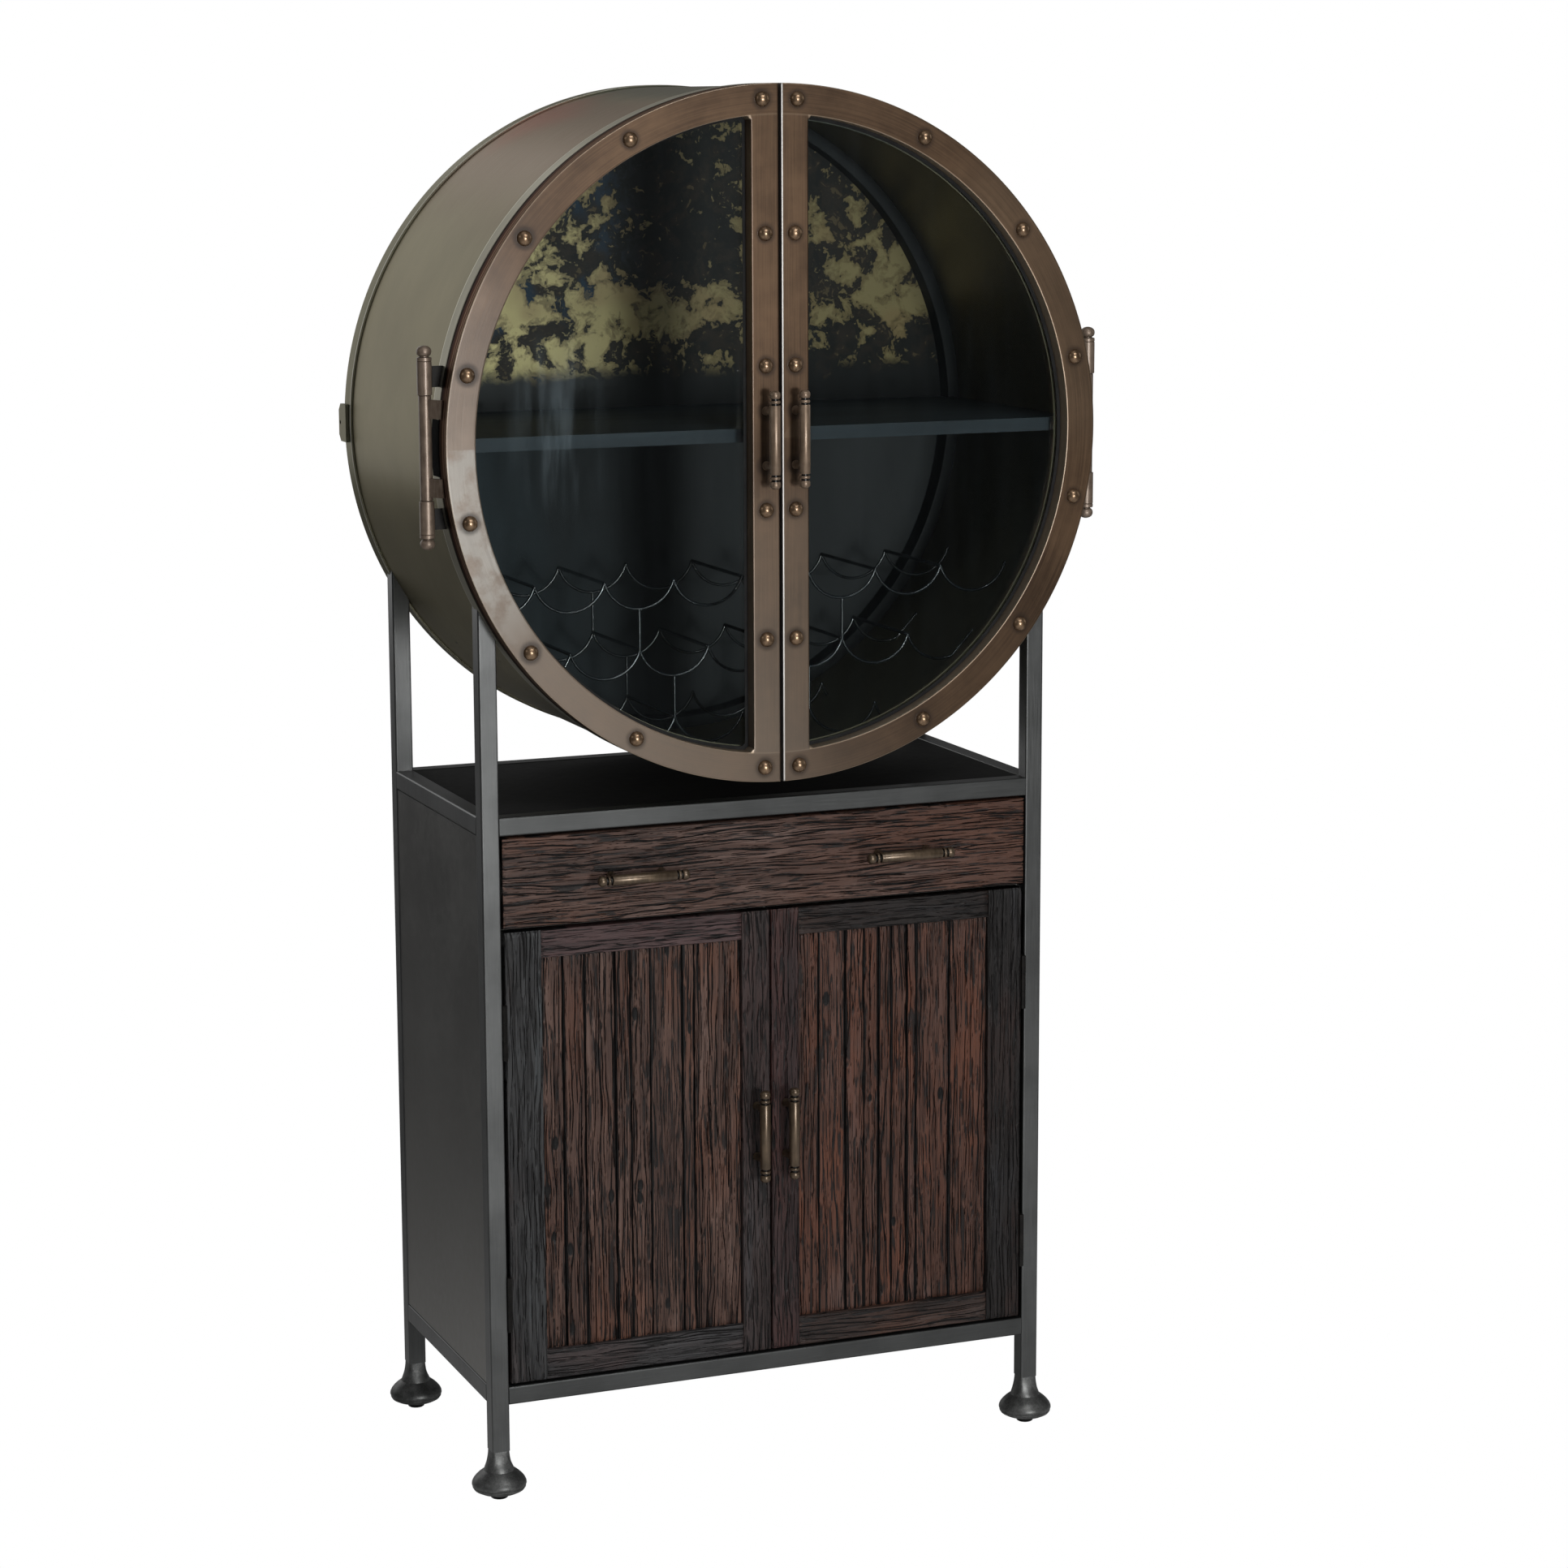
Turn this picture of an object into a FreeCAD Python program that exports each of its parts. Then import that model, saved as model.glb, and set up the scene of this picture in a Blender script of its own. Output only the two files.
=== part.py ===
import FreeCAD, Part
import math
import os

# A round steel drum with two glazed half-round doors stands on four square posts above a low cabinet
# with one drawer and two plank doors. Lengths are millimetres and angles are degrees. X runs to the
# right, Y to the back and Z up. The floor is Z = 0, and the origin is below the middle of the whole
# object, so what is set out from the middle of the posts is moved back by shift_y.

V = FreeCAD.Vector

# Post frame, whose posts stand post_inset inside the widest of the drum
post_inset = 52.0
base_depth = 420.0
base_height = 940.5
leg_height = 133.0
tube = 25.0
tube_wall = 1.5
tube_corner = 2.0

# Sheet panels of the lower cabinet
panel_sheet = 1.5
panel_groove = 1.3
panel_recess = 1.2
top_sheet_thickness = 3.0
top_sheet_drop = 1.0
floor_sheet_thickness = 2.0

# Feet and glides
foot_height = 60.0
foot_radius = 37.5
foot_waist_radius = 21.0
foot_sole_radius = 16.0
foot_sides = 12
foot_bell_height_shares = (0.0, 0.055, 0.20, 0.285, 0.39, 0.48, 0.567)
foot_bell_bulge_shares = (0.0, 0.58, 1.0, 0.94, 0.52, 0.18, 0.0)
foot_neck_height_shares = (0.70, 0.84, 1.0)
foot_neck_blend_shares = (0.47, 0.88, 1.0)
glide_height = 8.0
glide_top_radius = 14.5
glide_bottom_radius = 11.7

# Drawer
drawer_height = 120.5
drawer_top_gap = 3.4
drawer_side_gap = 3.0
drawer_front_thickness = 22.0
drawer_front_proud = 2.0
drawer_box_height = 88.0
drawer_box_board = 12.0
drawer_bottom_thickness = 6.0
drawer_groove_depth = 4.0
drawer_groove_rise = 8.0
drawer_back_gap = 14.0
drawer_travel = 280.0
runner_height = 45.0
runner_space = 12.7
runner_sheet = 1.2
runner_clearance = 0.4
drawer_runner_height = 34.0
roller_sides = 10
wood_edge = 2.0

# Lower doors
drawer_door_gap = 6.5
door_bottom_gap = 4.0
door_side_gap = 4.5
door_middle_gap = 2.6
door_thickness = 22.0
outer_stile_width = 51.0
meeting_stile_width = 40.5
top_rail_height = 38.0
bottom_rail_height = 41.0
plank_recess = 6.0
plank_thickness = 13.0
plank_joint = 1.0
plank_step = 2.2
left_plank_width_shares = (0.107, 0.107, 0.152, 0.075, 0.102, 0.162, 0.058, 0.237)
left_plank_step_shares = (0.5, -0.6, 0.2, -1.0, 0.4, 0.9, -0.4, 0.6)
right_plank_width_shares = (0.112, 0.139, 0.096, 0.080, 0.066, 0.082, 0.049, 0.177, 0.199)
right_plank_step_shares = (0.3, 0.8, -0.9, 0.6, -0.3, 1.0, -0.6, 0.5, 0.2)
stop_rail_size = 20.0
catch_width = 38.0
catch_height = 14.0
seat_clearance = 0.3

# Butt hinges of the lower doors
butt_height = 76.0
butt_leaf_width = 20.0
butt_leaf_sheet = 1.5
butt_knuckle_radius = 2.9
butt_pin_radius = 1.5
butt_knuckle_count = 3
butt_proud = 2.0
butt_top_inset = 135.0
butt_bottom_inset = 112.0
butt_play = 0.3
butt_sides = 6

# Drum
drum_base_gap = 29.5
drum_radius = 457.0
drum_sheet = 2.5
drum_depth = 448.0
band_thickness = 3.0
front_band_width = 32.0
back_band_width = 30.0
flange_width = 45.0
flange_sheet = 3.0
pan_rim_width = 17.5
pan_depth = 31.0
pan_inset = 18.0
pan_sheet = 2.0
mirror_thickness = 4.0
shelf_rise = 9.5
shelf_sheet = 2.0
shelf_lip = 18.0
shelf_setback = 19.0

# Bottle rack
rack_wire_radius = 2.0
rack_rod_radius = 2.5
rack_pitch = 99.0
rack_sag = 37.0
rack_row_drop = 93.5
rack_low_rise = 67.5
rack_front_setback = 114.0
rack_depth = 192.0
rack_arc_steps = 4
wire_sides = 4
rack_wall_clear_share = 0.3
rack_peak_share = 1.5
rack_rod_places = ((0, -2, 2, -3, 3), (-0.5, 0.5, -1.5, 1.5, -2.5, 2.5), (-1, 1))
rack_tie_places = ((), (-1.5, 1.5), (-1, 1))

# Drum doors
ring_width = 40.0
ring_depth = 28.0
ring_sheet = 2.0
drum_door_gap = 2.5
meeting_gap = 4.0
drum_stile_width = 38.0
inner_return_depth = 23.0
glass_thickness = 4.0
glass_overlap = 7.0

# Barrel hinges of the drum doors
barrel_offset = 12.5
barrel_setback = 16.0
barrel_radius = 8.2
knuckle_radius = 9.7
knuckle_length = 43.0
barrel_length = 135.0
barrel_play = 0.5
hinge_pin_radius = 5.0
pin_clearance = 0.05
hinge_sides = 8
leaf_thickness = 5.0
leaf_height = 27.0
leaf_end_inset = 6.0
tab_height = 24.0
tab_thickness = 6.0
tab_end_inset = 5.0
tab_bite = 12.0
collar_height = 5.0
collar_gap = 0.5
finial_neck_radius = 6.3
finial_radius = 9.3
finial_height = 15.0
finial_height_shares = (0.20, 0.38, 0.72, 1.0)
finial_width_shares = (0.68, 0.97, 0.93, 0.40)

# Bar pulls
pull_length = 129.0
pull_radius = 7.4
pull_sides = 8
pull_end_inset_shares = (1.0, 0.87, 0.40, 0.0)
pull_end_width_shares = (1.0, 0.76, 0.90, 0.45)
pull_end_length = 15.0
pull_reach = 32.0
pull_post_spacing = 72.0
pull_post_radius = 4.5
pull_post_sides = 6
drawer_pull_spacing = 388.0
door_pull_drop = 308.0

# Tabs behind the drum for a safety wire
wall_tab_thickness = 4.0
wall_tab_height = 52.0
wall_tab_bevel = 9.0
wall_tab_grip = 20.0
wall_tab_reach = 14.0
wall_tab_hole_radius = 3.0

cut_over = 5.0

# Ranges of the joints
drum_door_swing = 170.0
lower_door_swing = 115.0

# Places that follow from the sizes
drum_inner = drum_radius - drum_sheet
band_radius = drum_radius + band_thickness
zc = base_height + drum_base_gap + band_radius
half_width = band_radius - post_inset
half_depth = base_depth / 2
inner_half_width = half_width - tube
inner_half_depth = half_depth - tube
panel_inner_face = half_depth - panel_recess - 2 * panel_sheet
rail_top_low = base_height - tube
floor_top = leg_height + tube
foot_top = glide_height + foot_height
drawer_top = rail_top_low - drawer_top_gap
drawer_low = drawer_top - drawer_height
door_top = drawer_low - drawer_door_gap
door_low = floor_top + door_bottom_gap
door_outer = inner_half_width - door_side_gap
drum_front = -drum_depth / 2
drum_back = drum_depth / 2
ring_back = drum_front - drum_door_gap
ring_front = ring_back - ring_depth
glass_front = ring_front + inner_return_depth
barrel_x = band_radius + barrel_offset
barrel_y = drum_front + barrel_setback
front_reach = -ring_front + pull_reach + pull_radius
back_reach = drum_back + wall_tab_reach
shift_y = (front_reach - back_reach) / 2


def box(x0, x1, y0, y1, z0, z1):
    return Part.makeBox(x1 - x0, y1 - y0, z1 - z0, V(x0, y0, z0))


def drum_disc(radius, y0, y1):
    """A solid cylinder about the drum's axis, from y0 to y1."""
    return Part.makeCylinder(radius, y1 - y0, V(0, y0, zc), V(0, 1, 0))


def drum_turned(profile):
    """A solid turned about the drum's axis from a closed outline of (y, radius) corners."""
    points = [V(0, y, zc + radius) for y, radius in profile]
    return ring_face(points).revolve(V(0, 0, zc), V(0, 1, 0), 360)


def half_disc(radius, edge, side, y0, y1):
    """The part of a drum disc that lies beyond the upright line x = edge on one side."""
    disc = drum_disc(radius, y0, y1)
    far = radius + cut_over
    x0, x1 = sorted((side * edge, side * far))
    return disc.common(box(x0, x1, y0 - cut_over, y1 + cut_over, zc - far, zc + far))


def laid_ring(points, place, along):
    """Flat (x, y) points laid at place and square to the direction along."""
    placement = FreeCAD.Placement(place, FreeCAD.Rotation(V(0, 0, 1), along))
    return [placement.multVec(V(x, y, 0)) for x, y in points]


def ring_face(ring):
    return Part.Face(Part.makePolygon(ring + [ring[0]]))


def flat_face_solid(rings):
    """A solid with flat faces from ring to ring of points, closed by the first and the last ring."""
    faces = [ring_face(rings[0]), ring_face(rings[-1])]
    for ring, following in zip(rings, rings[1:]):
        for index in range(len(ring)):
            faces.append(ring_face([ring[index - 1], ring[index], following[index]]))
            faces.append(ring_face([ring[index - 1], following[index], following[index - 1]]))
    return Part.Solid(Part.Shell(faces)).removeSplitter()


def corner_radius(radius, sides):
    """How far the corners of a polygon stand out when its sides touch a circle from outside."""
    return radius / math.cos(math.pi / sides)


def polygon(sides, radius):
    """A regular polygon round a circle, with the middle of one side towards +X."""
    turns = [2 * math.pi * (index - 0.5) / sides for index in range(sides)]
    corner = corner_radius(radius, sides)
    return [(corner * math.cos(turn), corner * math.sin(turn)) for turn in turns]


def flat_sided(profile, sides, place, along):
    """A turned shape with flat sides, through regular polygons at the (height, radius) pairs."""
    return flat_face_solid([laid_ring(polygon(sides, radius), place + along * height, along)
                            for height, radius in profile])


def prism(sides, radius, start, run):
    along = V(run).normalize()
    return ring_face(laid_ring(polygon(sides, radius), start, along)).extrude(run)


def bevelled_square(side, bevel):
    h = side / 2
    c = h - bevel
    return [(h, -c), (h, c), (c, h), (-c, h), (-h, c), (-h, -c), (-c, -h), (c, -h)]


def square_tube(start, end):
    """A hollow square tube with eased corners between two points."""
    run = end - start
    along = V(run).normalize()
    outer = ring_face(laid_ring(bevelled_square(tube, tube_corner), start, along)).extrude(run)
    h = tube / 2 - tube_wall
    bore = laid_ring([(h, -h), (h, h), (-h, h), (-h, -h)], start - along * cut_over, along)
    return outer.cut(ring_face(bore).extrude(run + along * (2 * cut_over)))


def mirrored(shape):
    return shape.mirror(V(0, 0, 0), V(1, 0, 0))


def mirrored_up(shape):
    return shape.mirror(V(0, 0, zc), V(0, 0, 1))


def both_sides(shapes):
    """The left pieces and their twins on the right."""
    return shapes + [mirrored(shape) for shape in shapes]


def on_side(shapes, side):
    """Pieces made for the left side, put on the side asked for: -1 left, 1 right."""
    return shapes if side < 0 else [mirrored(shape) for shape in shapes]


# Posts and rails

def drum_envelope():
    """What the posts are cut round: the drum's shell with its two bands."""
    front = drum_disc(band_radius, drum_front, drum_front + front_band_width)
    back = drum_disc(band_radius, drum_back - back_band_width, drum_back)
    return drum_disc(drum_radius, drum_front, drum_back).fuse([front, back])


def post(side, end, envelope):
    """A leg that runs up from its foot past the base and is coped to the drum."""
    x = side * (half_width - tube / 2)
    y = end * (half_depth - tube / 2)
    return square_tube(V(x, y, foot_top), V(x, y, zc)).cut(envelope)


def cross_rails(end):
    """The upper and lower rail between the posts of the front or of the back."""
    y = end * (half_depth - tube / 2)
    return [square_tube(V(-inner_half_width, y, z), V(inner_half_width, y, z))
            for z in (base_height - tube / 2, leg_height + tube / 2)]


def side_rails(side):
    x = side * (half_width - tube / 2)
    return [square_tube(V(x, -inner_half_depth, z), V(x, inner_half_depth, z))
            for z in (base_height - tube / 2, leg_height + tube / 2)]


# Panels

def side_panel():
    """The left sheet between the tubes, with a raised field that leaves a fine groove all round."""
    face = half_width - panel_recess
    back = box(-face + panel_sheet, -face + 2 * panel_sheet, -inner_half_depth, inner_half_depth,
               floor_top, rail_top_low)
    field = box(-face, -face + panel_sheet, -inner_half_depth + panel_groove,
                inner_half_depth - panel_groove, floor_top + panel_groove, rail_top_low - panel_groove)
    return back.fuse(field).removeSplitter()


def back_panel():
    face = half_depth - panel_recess
    back = box(-inner_half_width, inner_half_width, panel_inner_face, face - panel_sheet,
               floor_top, rail_top_low)
    field = box(-inner_half_width + panel_groove, inner_half_width - panel_groove, face - panel_sheet, face,
                floor_top + panel_groove, rail_top_low - panel_groove)
    return back.fuse(field).removeSplitter()


def level_sheet(top, thickness):
    return box(-inner_half_width, inner_half_width, -inner_half_depth, inner_half_depth,
               top - thickness, top)


# Feet

def foot():
    """A cast foot: a bell below the waist, and above it a neck that turns square to meet the post."""
    sections = []
    for rise, bulge in zip(foot_bell_height_shares, foot_bell_bulge_shares):
        low = foot_sole_radius if rise < foot_bell_height_shares[-1] / 2 else foot_waist_radius
        radius = low + (foot_radius - low) * bulge
        points = [(radius * math.cos(2 * math.pi * index / foot_sides),
                   radius * math.sin(2 * math.pi * index / foot_sides)) for index in range(foot_sides)]
        sections.append((glide_height + foot_height * rise, points))
    h = tube / 2
    c = h - tube_corner
    square = [(h, 0), (h, c), (c, h)]
    for turn in range(3):
        square += [(-y, x) for x, y in square[-3:]]
    waist = sections[-1][1]
    for rise, blend in zip(foot_neck_height_shares, foot_neck_blend_shares):
        points = [(rx + (sx - rx) * blend, ry + (sy - ry) * blend)
                  for (rx, ry), (sx, sy) in zip(waist, square)]
        sections.append((glide_height + foot_height * rise, points))
    return flat_face_solid([laid_ring(points, V(0, 0, height), V(0, 0, 1)) for height, points in sections])


def glide():
    """A tapered pad under the foot."""
    return flat_sided([(0, glide_bottom_radius), (glide_height, glide_top_radius)], foot_sides,
                      V(0, 0, 0), V(0, 0, 1))


def at_each_post(shape):
    copies = []
    for side in (-1, 1):
        for end in (-1, 1):
            copy = shape.copy()
            copy.translate(V(side * (half_width - tube / 2), end * (half_depth - tube / 2), 0))
            copies.append(copy)
    return copies


# Drawer, its runners and the stop rail under it

drawer_half = inner_half_width - drawer_side_gap
drawer_box_half = inner_half_width - runner_space
drawer_face = -half_depth - drawer_front_proud
drawer_face_back = drawer_face + drawer_front_thickness
drawer_box_low = drawer_low + (drawer_height - drawer_box_height) / 2
drawer_box_back = panel_inner_face - drawer_back_gap
drawer_bottom_low = drawer_box_low + drawer_groove_rise
drawer_bottom_top = drawer_bottom_low + drawer_bottom_thickness
runner_middle = drawer_box_low + drawer_box_height / 2


def eased_board(x0, x1, y0, y1, z0, z1):
    """A board whose front edges are eased."""
    board = box(x0, x1, y0, y1, z0, z1)
    front = [edge for edge in board.Edges if all(abs(v.Y - y0) < wood_edge / 100 for v in edge.Vertexes)]
    return board.makeChamfer(wood_edge, front)


def drawer_front():
    board = eased_board(-drawer_half, drawer_half, drawer_face, drawer_face_back, drawer_low, drawer_top)
    groove = box(-drawer_box_half + drawer_box_board, drawer_box_half - drawer_box_board,
                 drawer_face_back - drawer_groove_depth, drawer_face_back,
                 drawer_bottom_low, drawer_bottom_top)
    return board.cut(groove)


def drawer_box():
    """The two sides, grooved for the bottom, and the back board that stands on the bottom."""
    top = drawer_box_low + drawer_box_height
    inner = drawer_box_half - drawer_box_board
    side = box(-drawer_box_half, -inner, drawer_face_back, drawer_box_back, drawer_box_low, top)
    side = side.cut(box(-inner - drawer_groove_depth, -inner, drawer_face_back, drawer_box_back,
                        drawer_bottom_low, drawer_bottom_top))
    back = box(-inner, inner, drawer_box_back - drawer_box_board, drawer_box_back, drawer_bottom_top, top)
    return both_sides([side]) + [back]


def drawer_bottom():
    """A panel that lies in the grooves of the front and the sides."""
    inner = drawer_box_half - drawer_box_board
    wide = box(-inner - drawer_groove_depth, inner + drawer_groove_depth, drawer_face_back, drawer_box_back,
               drawer_bottom_low, drawer_bottom_top)
    tongue = box(-inner, inner, drawer_face_back - drawer_groove_depth, drawer_face_back,
                 drawer_bottom_low, drawer_bottom_top)
    return wide.fuse(tongue).removeSplitter()


def channel(x_web, x_open, y0, y1, half_height):
    """A U-shaped bar: an upright web at x_web with two flanges that reach left or right to x_open."""
    x0, x1 = sorted((x_web, x_open))
    inner = half_height - runner_sheet
    web = x_web + math.copysign(runner_sheet, x_open - x_web)
    v0, v1 = sorted((web, x_open))
    bar = box(x0, x1, y0, y1, runner_middle - half_height, runner_middle + half_height)
    return bar.cut(box(v0, v1, y0, y1, runner_middle - inner, runner_middle + inner))


def cabinet_runner():
    """The left channel on the cabinet, open towards the drawer, from the front post to the back panel."""
    return channel(-inner_half_width, -drawer_box_half - runner_clearance,
                   drawer_face_back + seat_clearance, panel_inner_face, runner_height / 2)


def drawer_runner():
    """The left member on the drawer's side, with the roller at its back end that runs in the channel."""
    reach = inner_half_width - runner_sheet - runner_clearance
    roller = runner_height / 2 - runner_sheet - runner_clearance
    front = drawer_face_back + 2 * seat_clearance
    roller_y = drawer_box_back - roller
    member = channel(-drawer_box_half, -reach, front, roller_y - 2 * roller, drawer_runner_height / 2)
    plate = box(-drawer_box_half - runner_sheet, -drawer_box_half, front, drawer_box_back,
                runner_middle - drawer_runner_height / 2, runner_middle + drawer_runner_height / 2)
    wheel = prism(roller_sides, roller, V(-drawer_box_half - runner_sheet, roller_y, runner_middle),
                  V(drawer_box_half + runner_sheet - reach, 0, 0))
    return member.fuse([plate, wheel]).removeSplitter()


def stop_rail():
    """The bar behind the front posts that the doors close against."""
    reach = half_width - panel_recess - 2 * panel_sheet
    return box(-reach, reach, -inner_half_depth, -inner_half_depth + stop_rail_size,
               door_top - stop_rail_size, door_top)


def door_catch():
    """A magnetic catch for the left door, under the stop rail."""
    low = door_top - stop_rail_size
    front = door_back + seat_clearance
    return box(plank_x1, plank_x1 + catch_width, front, -inner_half_depth + stop_rail_size,
               low - catch_height, low)


# Lower doors

plank_x0 = -door_outer + outer_stile_width
plank_x1 = -door_middle_gap / 2 - meeting_stile_width
door_back = -half_depth + door_thickness


def door_stiles():
    outer = eased_board(-door_outer, plank_x0, -half_depth, door_back, door_low, door_top)
    middle = eased_board(plank_x1, -door_middle_gap / 2, -half_depth, door_back, door_low, door_top)
    return [outer, middle]


def door_rails():
    top = eased_board(plank_x0, plank_x1, -half_depth, door_back, door_top - top_rail_height, door_top)
    low = eased_board(plank_x0, plank_x1, -half_depth, door_back, door_low, door_low + bottom_rail_height)
    return [top, low]


def door_planks(width_shares, step_shares, x0, x1):
    """Upright boards of uneven width and depth that fill a door's frame, from left to right."""
    z0 = door_low + bottom_rail_height
    z1 = door_top - top_rail_height
    planks = []
    start = x0
    total = sum(width_shares)
    last = len(width_shares) - 1
    for index, (width, step) in enumerate(zip(width_shares, step_shares)):
        end = start + (x1 - x0) * width / total
        front = -half_depth + plank_recess + plank_step / 2 * step
        left = start if index == 0 else start + plank_joint / 2
        right = x1 if index == last else end - plank_joint / 2
        planks.append(box(left, right, front, -half_depth + plank_recess + plank_thickness, z0, z1))
        start = end
    return planks


# Butt hinges of the lower doors

butt_x = -inner_half_width + door_side_gap / 2
butt_y = -half_depth - butt_proud
butt_middles = (door_top - butt_top_inset, door_low + butt_bottom_inset)


def butt_leaf(middle, face_x, inward, own_knuckles):
    """One leaf of a left hinge: a plate against face_x, with strips out to the knuckles that it owns."""
    low = middle - butt_height / 2
    x0, x1 = sorted((face_x, face_x + inward * butt_leaf_sheet))
    plate_front = butt_y + butt_knuckle_radius + butt_play
    leaf = box(x0, x1, plate_front, plate_front + butt_leaf_width, low, low + butt_height)
    step = butt_height / butt_knuckle_count
    for index in own_knuckles:
        z0 = low + index * step + butt_play / 2
        height = step - butt_play
        knuckle = prism(butt_sides, butt_knuckle_radius, V(butt_x, butt_y, z0), V(0, 0, height))
        leaf = leaf.fuse([knuckle, box(x0, x1, butt_y, plate_front, z0, z0 + height)])
    return leaf


def butt_pin(middle, radius):
    low = middle - butt_height / 2 + butt_play
    return prism(butt_sides, radius, V(butt_x, butt_y, low), V(0, 0, butt_height - 2 * butt_play))


def frame_butt_leaf(middle):
    """The leaf on the post, whose outer knuckles hold the pin."""
    leaf = butt_leaf(middle, -inner_half_width, 1, range(0, butt_knuckle_count, 2))
    return leaf.fuse(butt_pin(middle, butt_pin_radius)).removeSplitter()


def door_butt_leaf(middle):
    """The leaf on the door, whose knuckles turn on the pin."""
    leaf = butt_leaf(middle, -door_outer, -1, range(1, butt_knuckle_count, 2))
    bore = butt_pin(middle, corner_radius(butt_pin_radius, butt_sides) + pin_clearance)
    return leaf.cut(bore).removeSplitter()


# Drum

pan_back = drum_back - pan_inset
pan_floor = pan_back - pan_sheet
pan_front = pan_floor - pan_depth
pan_radius = drum_inner - pan_rim_width
shelf_top = zc + shelf_rise
flange_radius = band_radius - flange_width


def drum_shell():
    """The rolled shell with a raised band at each end and a flange turned in at the front."""
    band_end = drum_front + front_band_width
    band_start = drum_back - back_band_width
    return drum_turned([
        (drum_front, band_radius), (band_end, band_radius), (band_end, drum_radius),
        (band_start, drum_radius), (band_start, band_radius), (drum_back, band_radius),
        (drum_back, drum_inner), (drum_front + flange_sheet, drum_inner),
        (drum_front + flange_sheet, flange_radius), (drum_front, flange_radius)])


def drum_back_pan():
    """The pressed back: a rim against the shell, a wall that runs back from it, and a flat floor."""
    return drum_turned([
        (pan_front, drum_inner), (pan_front, pan_radius), (pan_floor, pan_radius), (pan_floor, 0),
        (pan_back, 0), (pan_back, pan_radius + pan_sheet), (pan_front + pan_sheet, pan_radius + pan_sheet),
        (pan_front + pan_sheet, drum_inner)])


def mirror():
    """The glass on the upper half of the back, which stands on the shelf."""
    disc = drum_disc(pan_radius, pan_floor - mirror_thickness, pan_floor)
    return disc.common(box(-drum_radius, drum_radius, drum_front, drum_back, shelf_top, zc + drum_radius))


def drum_shelf():
    """A folded sheet across the drum, its front edge turned down, notched round the rim of the back."""
    front = drum_front + shelf_setback
    deck = box(-drum_radius, drum_radius, front, pan_front, shelf_top - shelf_sheet, shelf_top)
    lip = box(-drum_radius, drum_radius, front, front + shelf_sheet, shelf_top - shelf_lip, shelf_top)
    tail = box(-pan_radius, pan_radius, pan_front, pan_floor, shelf_top - shelf_sheet, shelf_top)
    inside = drum_disc(drum_inner, drum_front, pan_front)
    inside_pan = drum_disc(pan_radius, pan_front, pan_floor)
    return deck.fuse(lip).common(inside).fuse(tail.common(inside_pan)).removeSplitter()


# Bottle rack

rack_front_y = drum_front + rack_front_setback
rack_back_y = rack_front_y + rack_depth


def cusp_height(row):
    rows_up = len(rack_tie_places) - 1 - row
    return zc - drum_inner + rack_low_rise + rows_up * rack_row_drop


def row_reach(row):
    """How far the drum's inner wall stands from the middle at the height of a row's cusps."""
    dz = cusp_height(row) - zc
    return math.sqrt(drum_inner ** 2 - dz ** 2)


def row_cusps(row):
    """The x of each cusp of a row, from left to right: odd rows stand half a pitch over."""
    offset = rack_pitch / 2 if row % 2 else 0
    reach = row_reach(row) - rack_pitch * rack_wall_clear_share
    count = int((reach - offset) // rack_pitch)
    right = [offset + rack_pitch * index for index in range(count + 1)]
    return sorted(set(right + [-x for x in right]))


def held_places(places, row):
    """The places, in pitches from the middle, at which the row has a cusp to carry something."""
    return [place for place in places if abs(place) * rack_pitch <= row_cusps(row)[-1]]


def wire_section(x, y, z, lean, stretch):
    """A cut through the wire, with flats towards the front and the back; lean is its angle."""
    corner = corner_radius(rack_wire_radius, wire_sides)
    points = []
    for index in range(wire_sides):
        turn = 2 * math.pi * (index + 0.5) / wire_sides
        out = corner * math.cos(turn) * stretch
        points.append(V(x + out * math.sin(lean), y + corner * math.sin(turn), z - out * math.cos(lean)))
    return points


def hanging_arc(start, end, z_cusp, y):
    """Sections of one scallop of wire between two cusps, without the cusps themselves."""
    half = (end - start) / 2
    radius = (half ** 2 + rack_sag ** 2) / (2 * rack_sag)
    spread = math.asin(half / radius)
    sections = []
    for step in range(1, rack_arc_steps):
        lean = spread * (2 * step / rack_arc_steps - 1)
        x = (start + end) / 2 + radius * math.sin(lean)
        z = z_cusp - rack_sag + radius * (1 - math.cos(lean))
        sections.append(wire_section(x, y, z, lean, 1))
    return sections


def rack_wire(row, y):
    """A row's wire from wall to wall: scallops between cusps, and the rest of one at each end."""
    cusps = row_cusps(row)
    z = cusp_height(row)
    end = cusps[-1] + max(rack_pitch, row_reach(row) - cusps[-1] + 2 * rack_wire_radius)
    stops = [-end] + cusps + [end]
    sections = [wire_section(-end, y, z, 0, rack_peak_share)]
    for left, right in zip(stops, stops[1:]):
        sections += hanging_arc(left, right, z, y)
        sections.append(wire_section(right, y, z, 0, rack_peak_share))
    return flat_face_solid(sections).common(drum_disc(drum_inner, y - tube, y + tube))


def rack_row(row, y, above):
    """A row with the ties that stand on its cusps, cut to fit under the troughs of the row above."""
    wire = rack_wire(row, y)
    low = cusp_height(row)
    for place in held_places(rack_tie_places[row], row):
        height = cusp_height(row - 1) - rack_sag - low
        tie = prism(wire_sides, rack_wire_radius, V(place * rack_pitch, y, low), V(0, 0, height))
        wire = wire.fuse(tie.cut(above))
    return wire


def rack_rows():
    """For each row its front and its back wire."""
    rows = []
    above = [None, None]
    for row in range(len(rack_tie_places)):
        above = [rack_row(row, y, upper) for y, upper in zip((rack_front_y, rack_back_y), above)]
        rows.append(above)
    return rows


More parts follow.
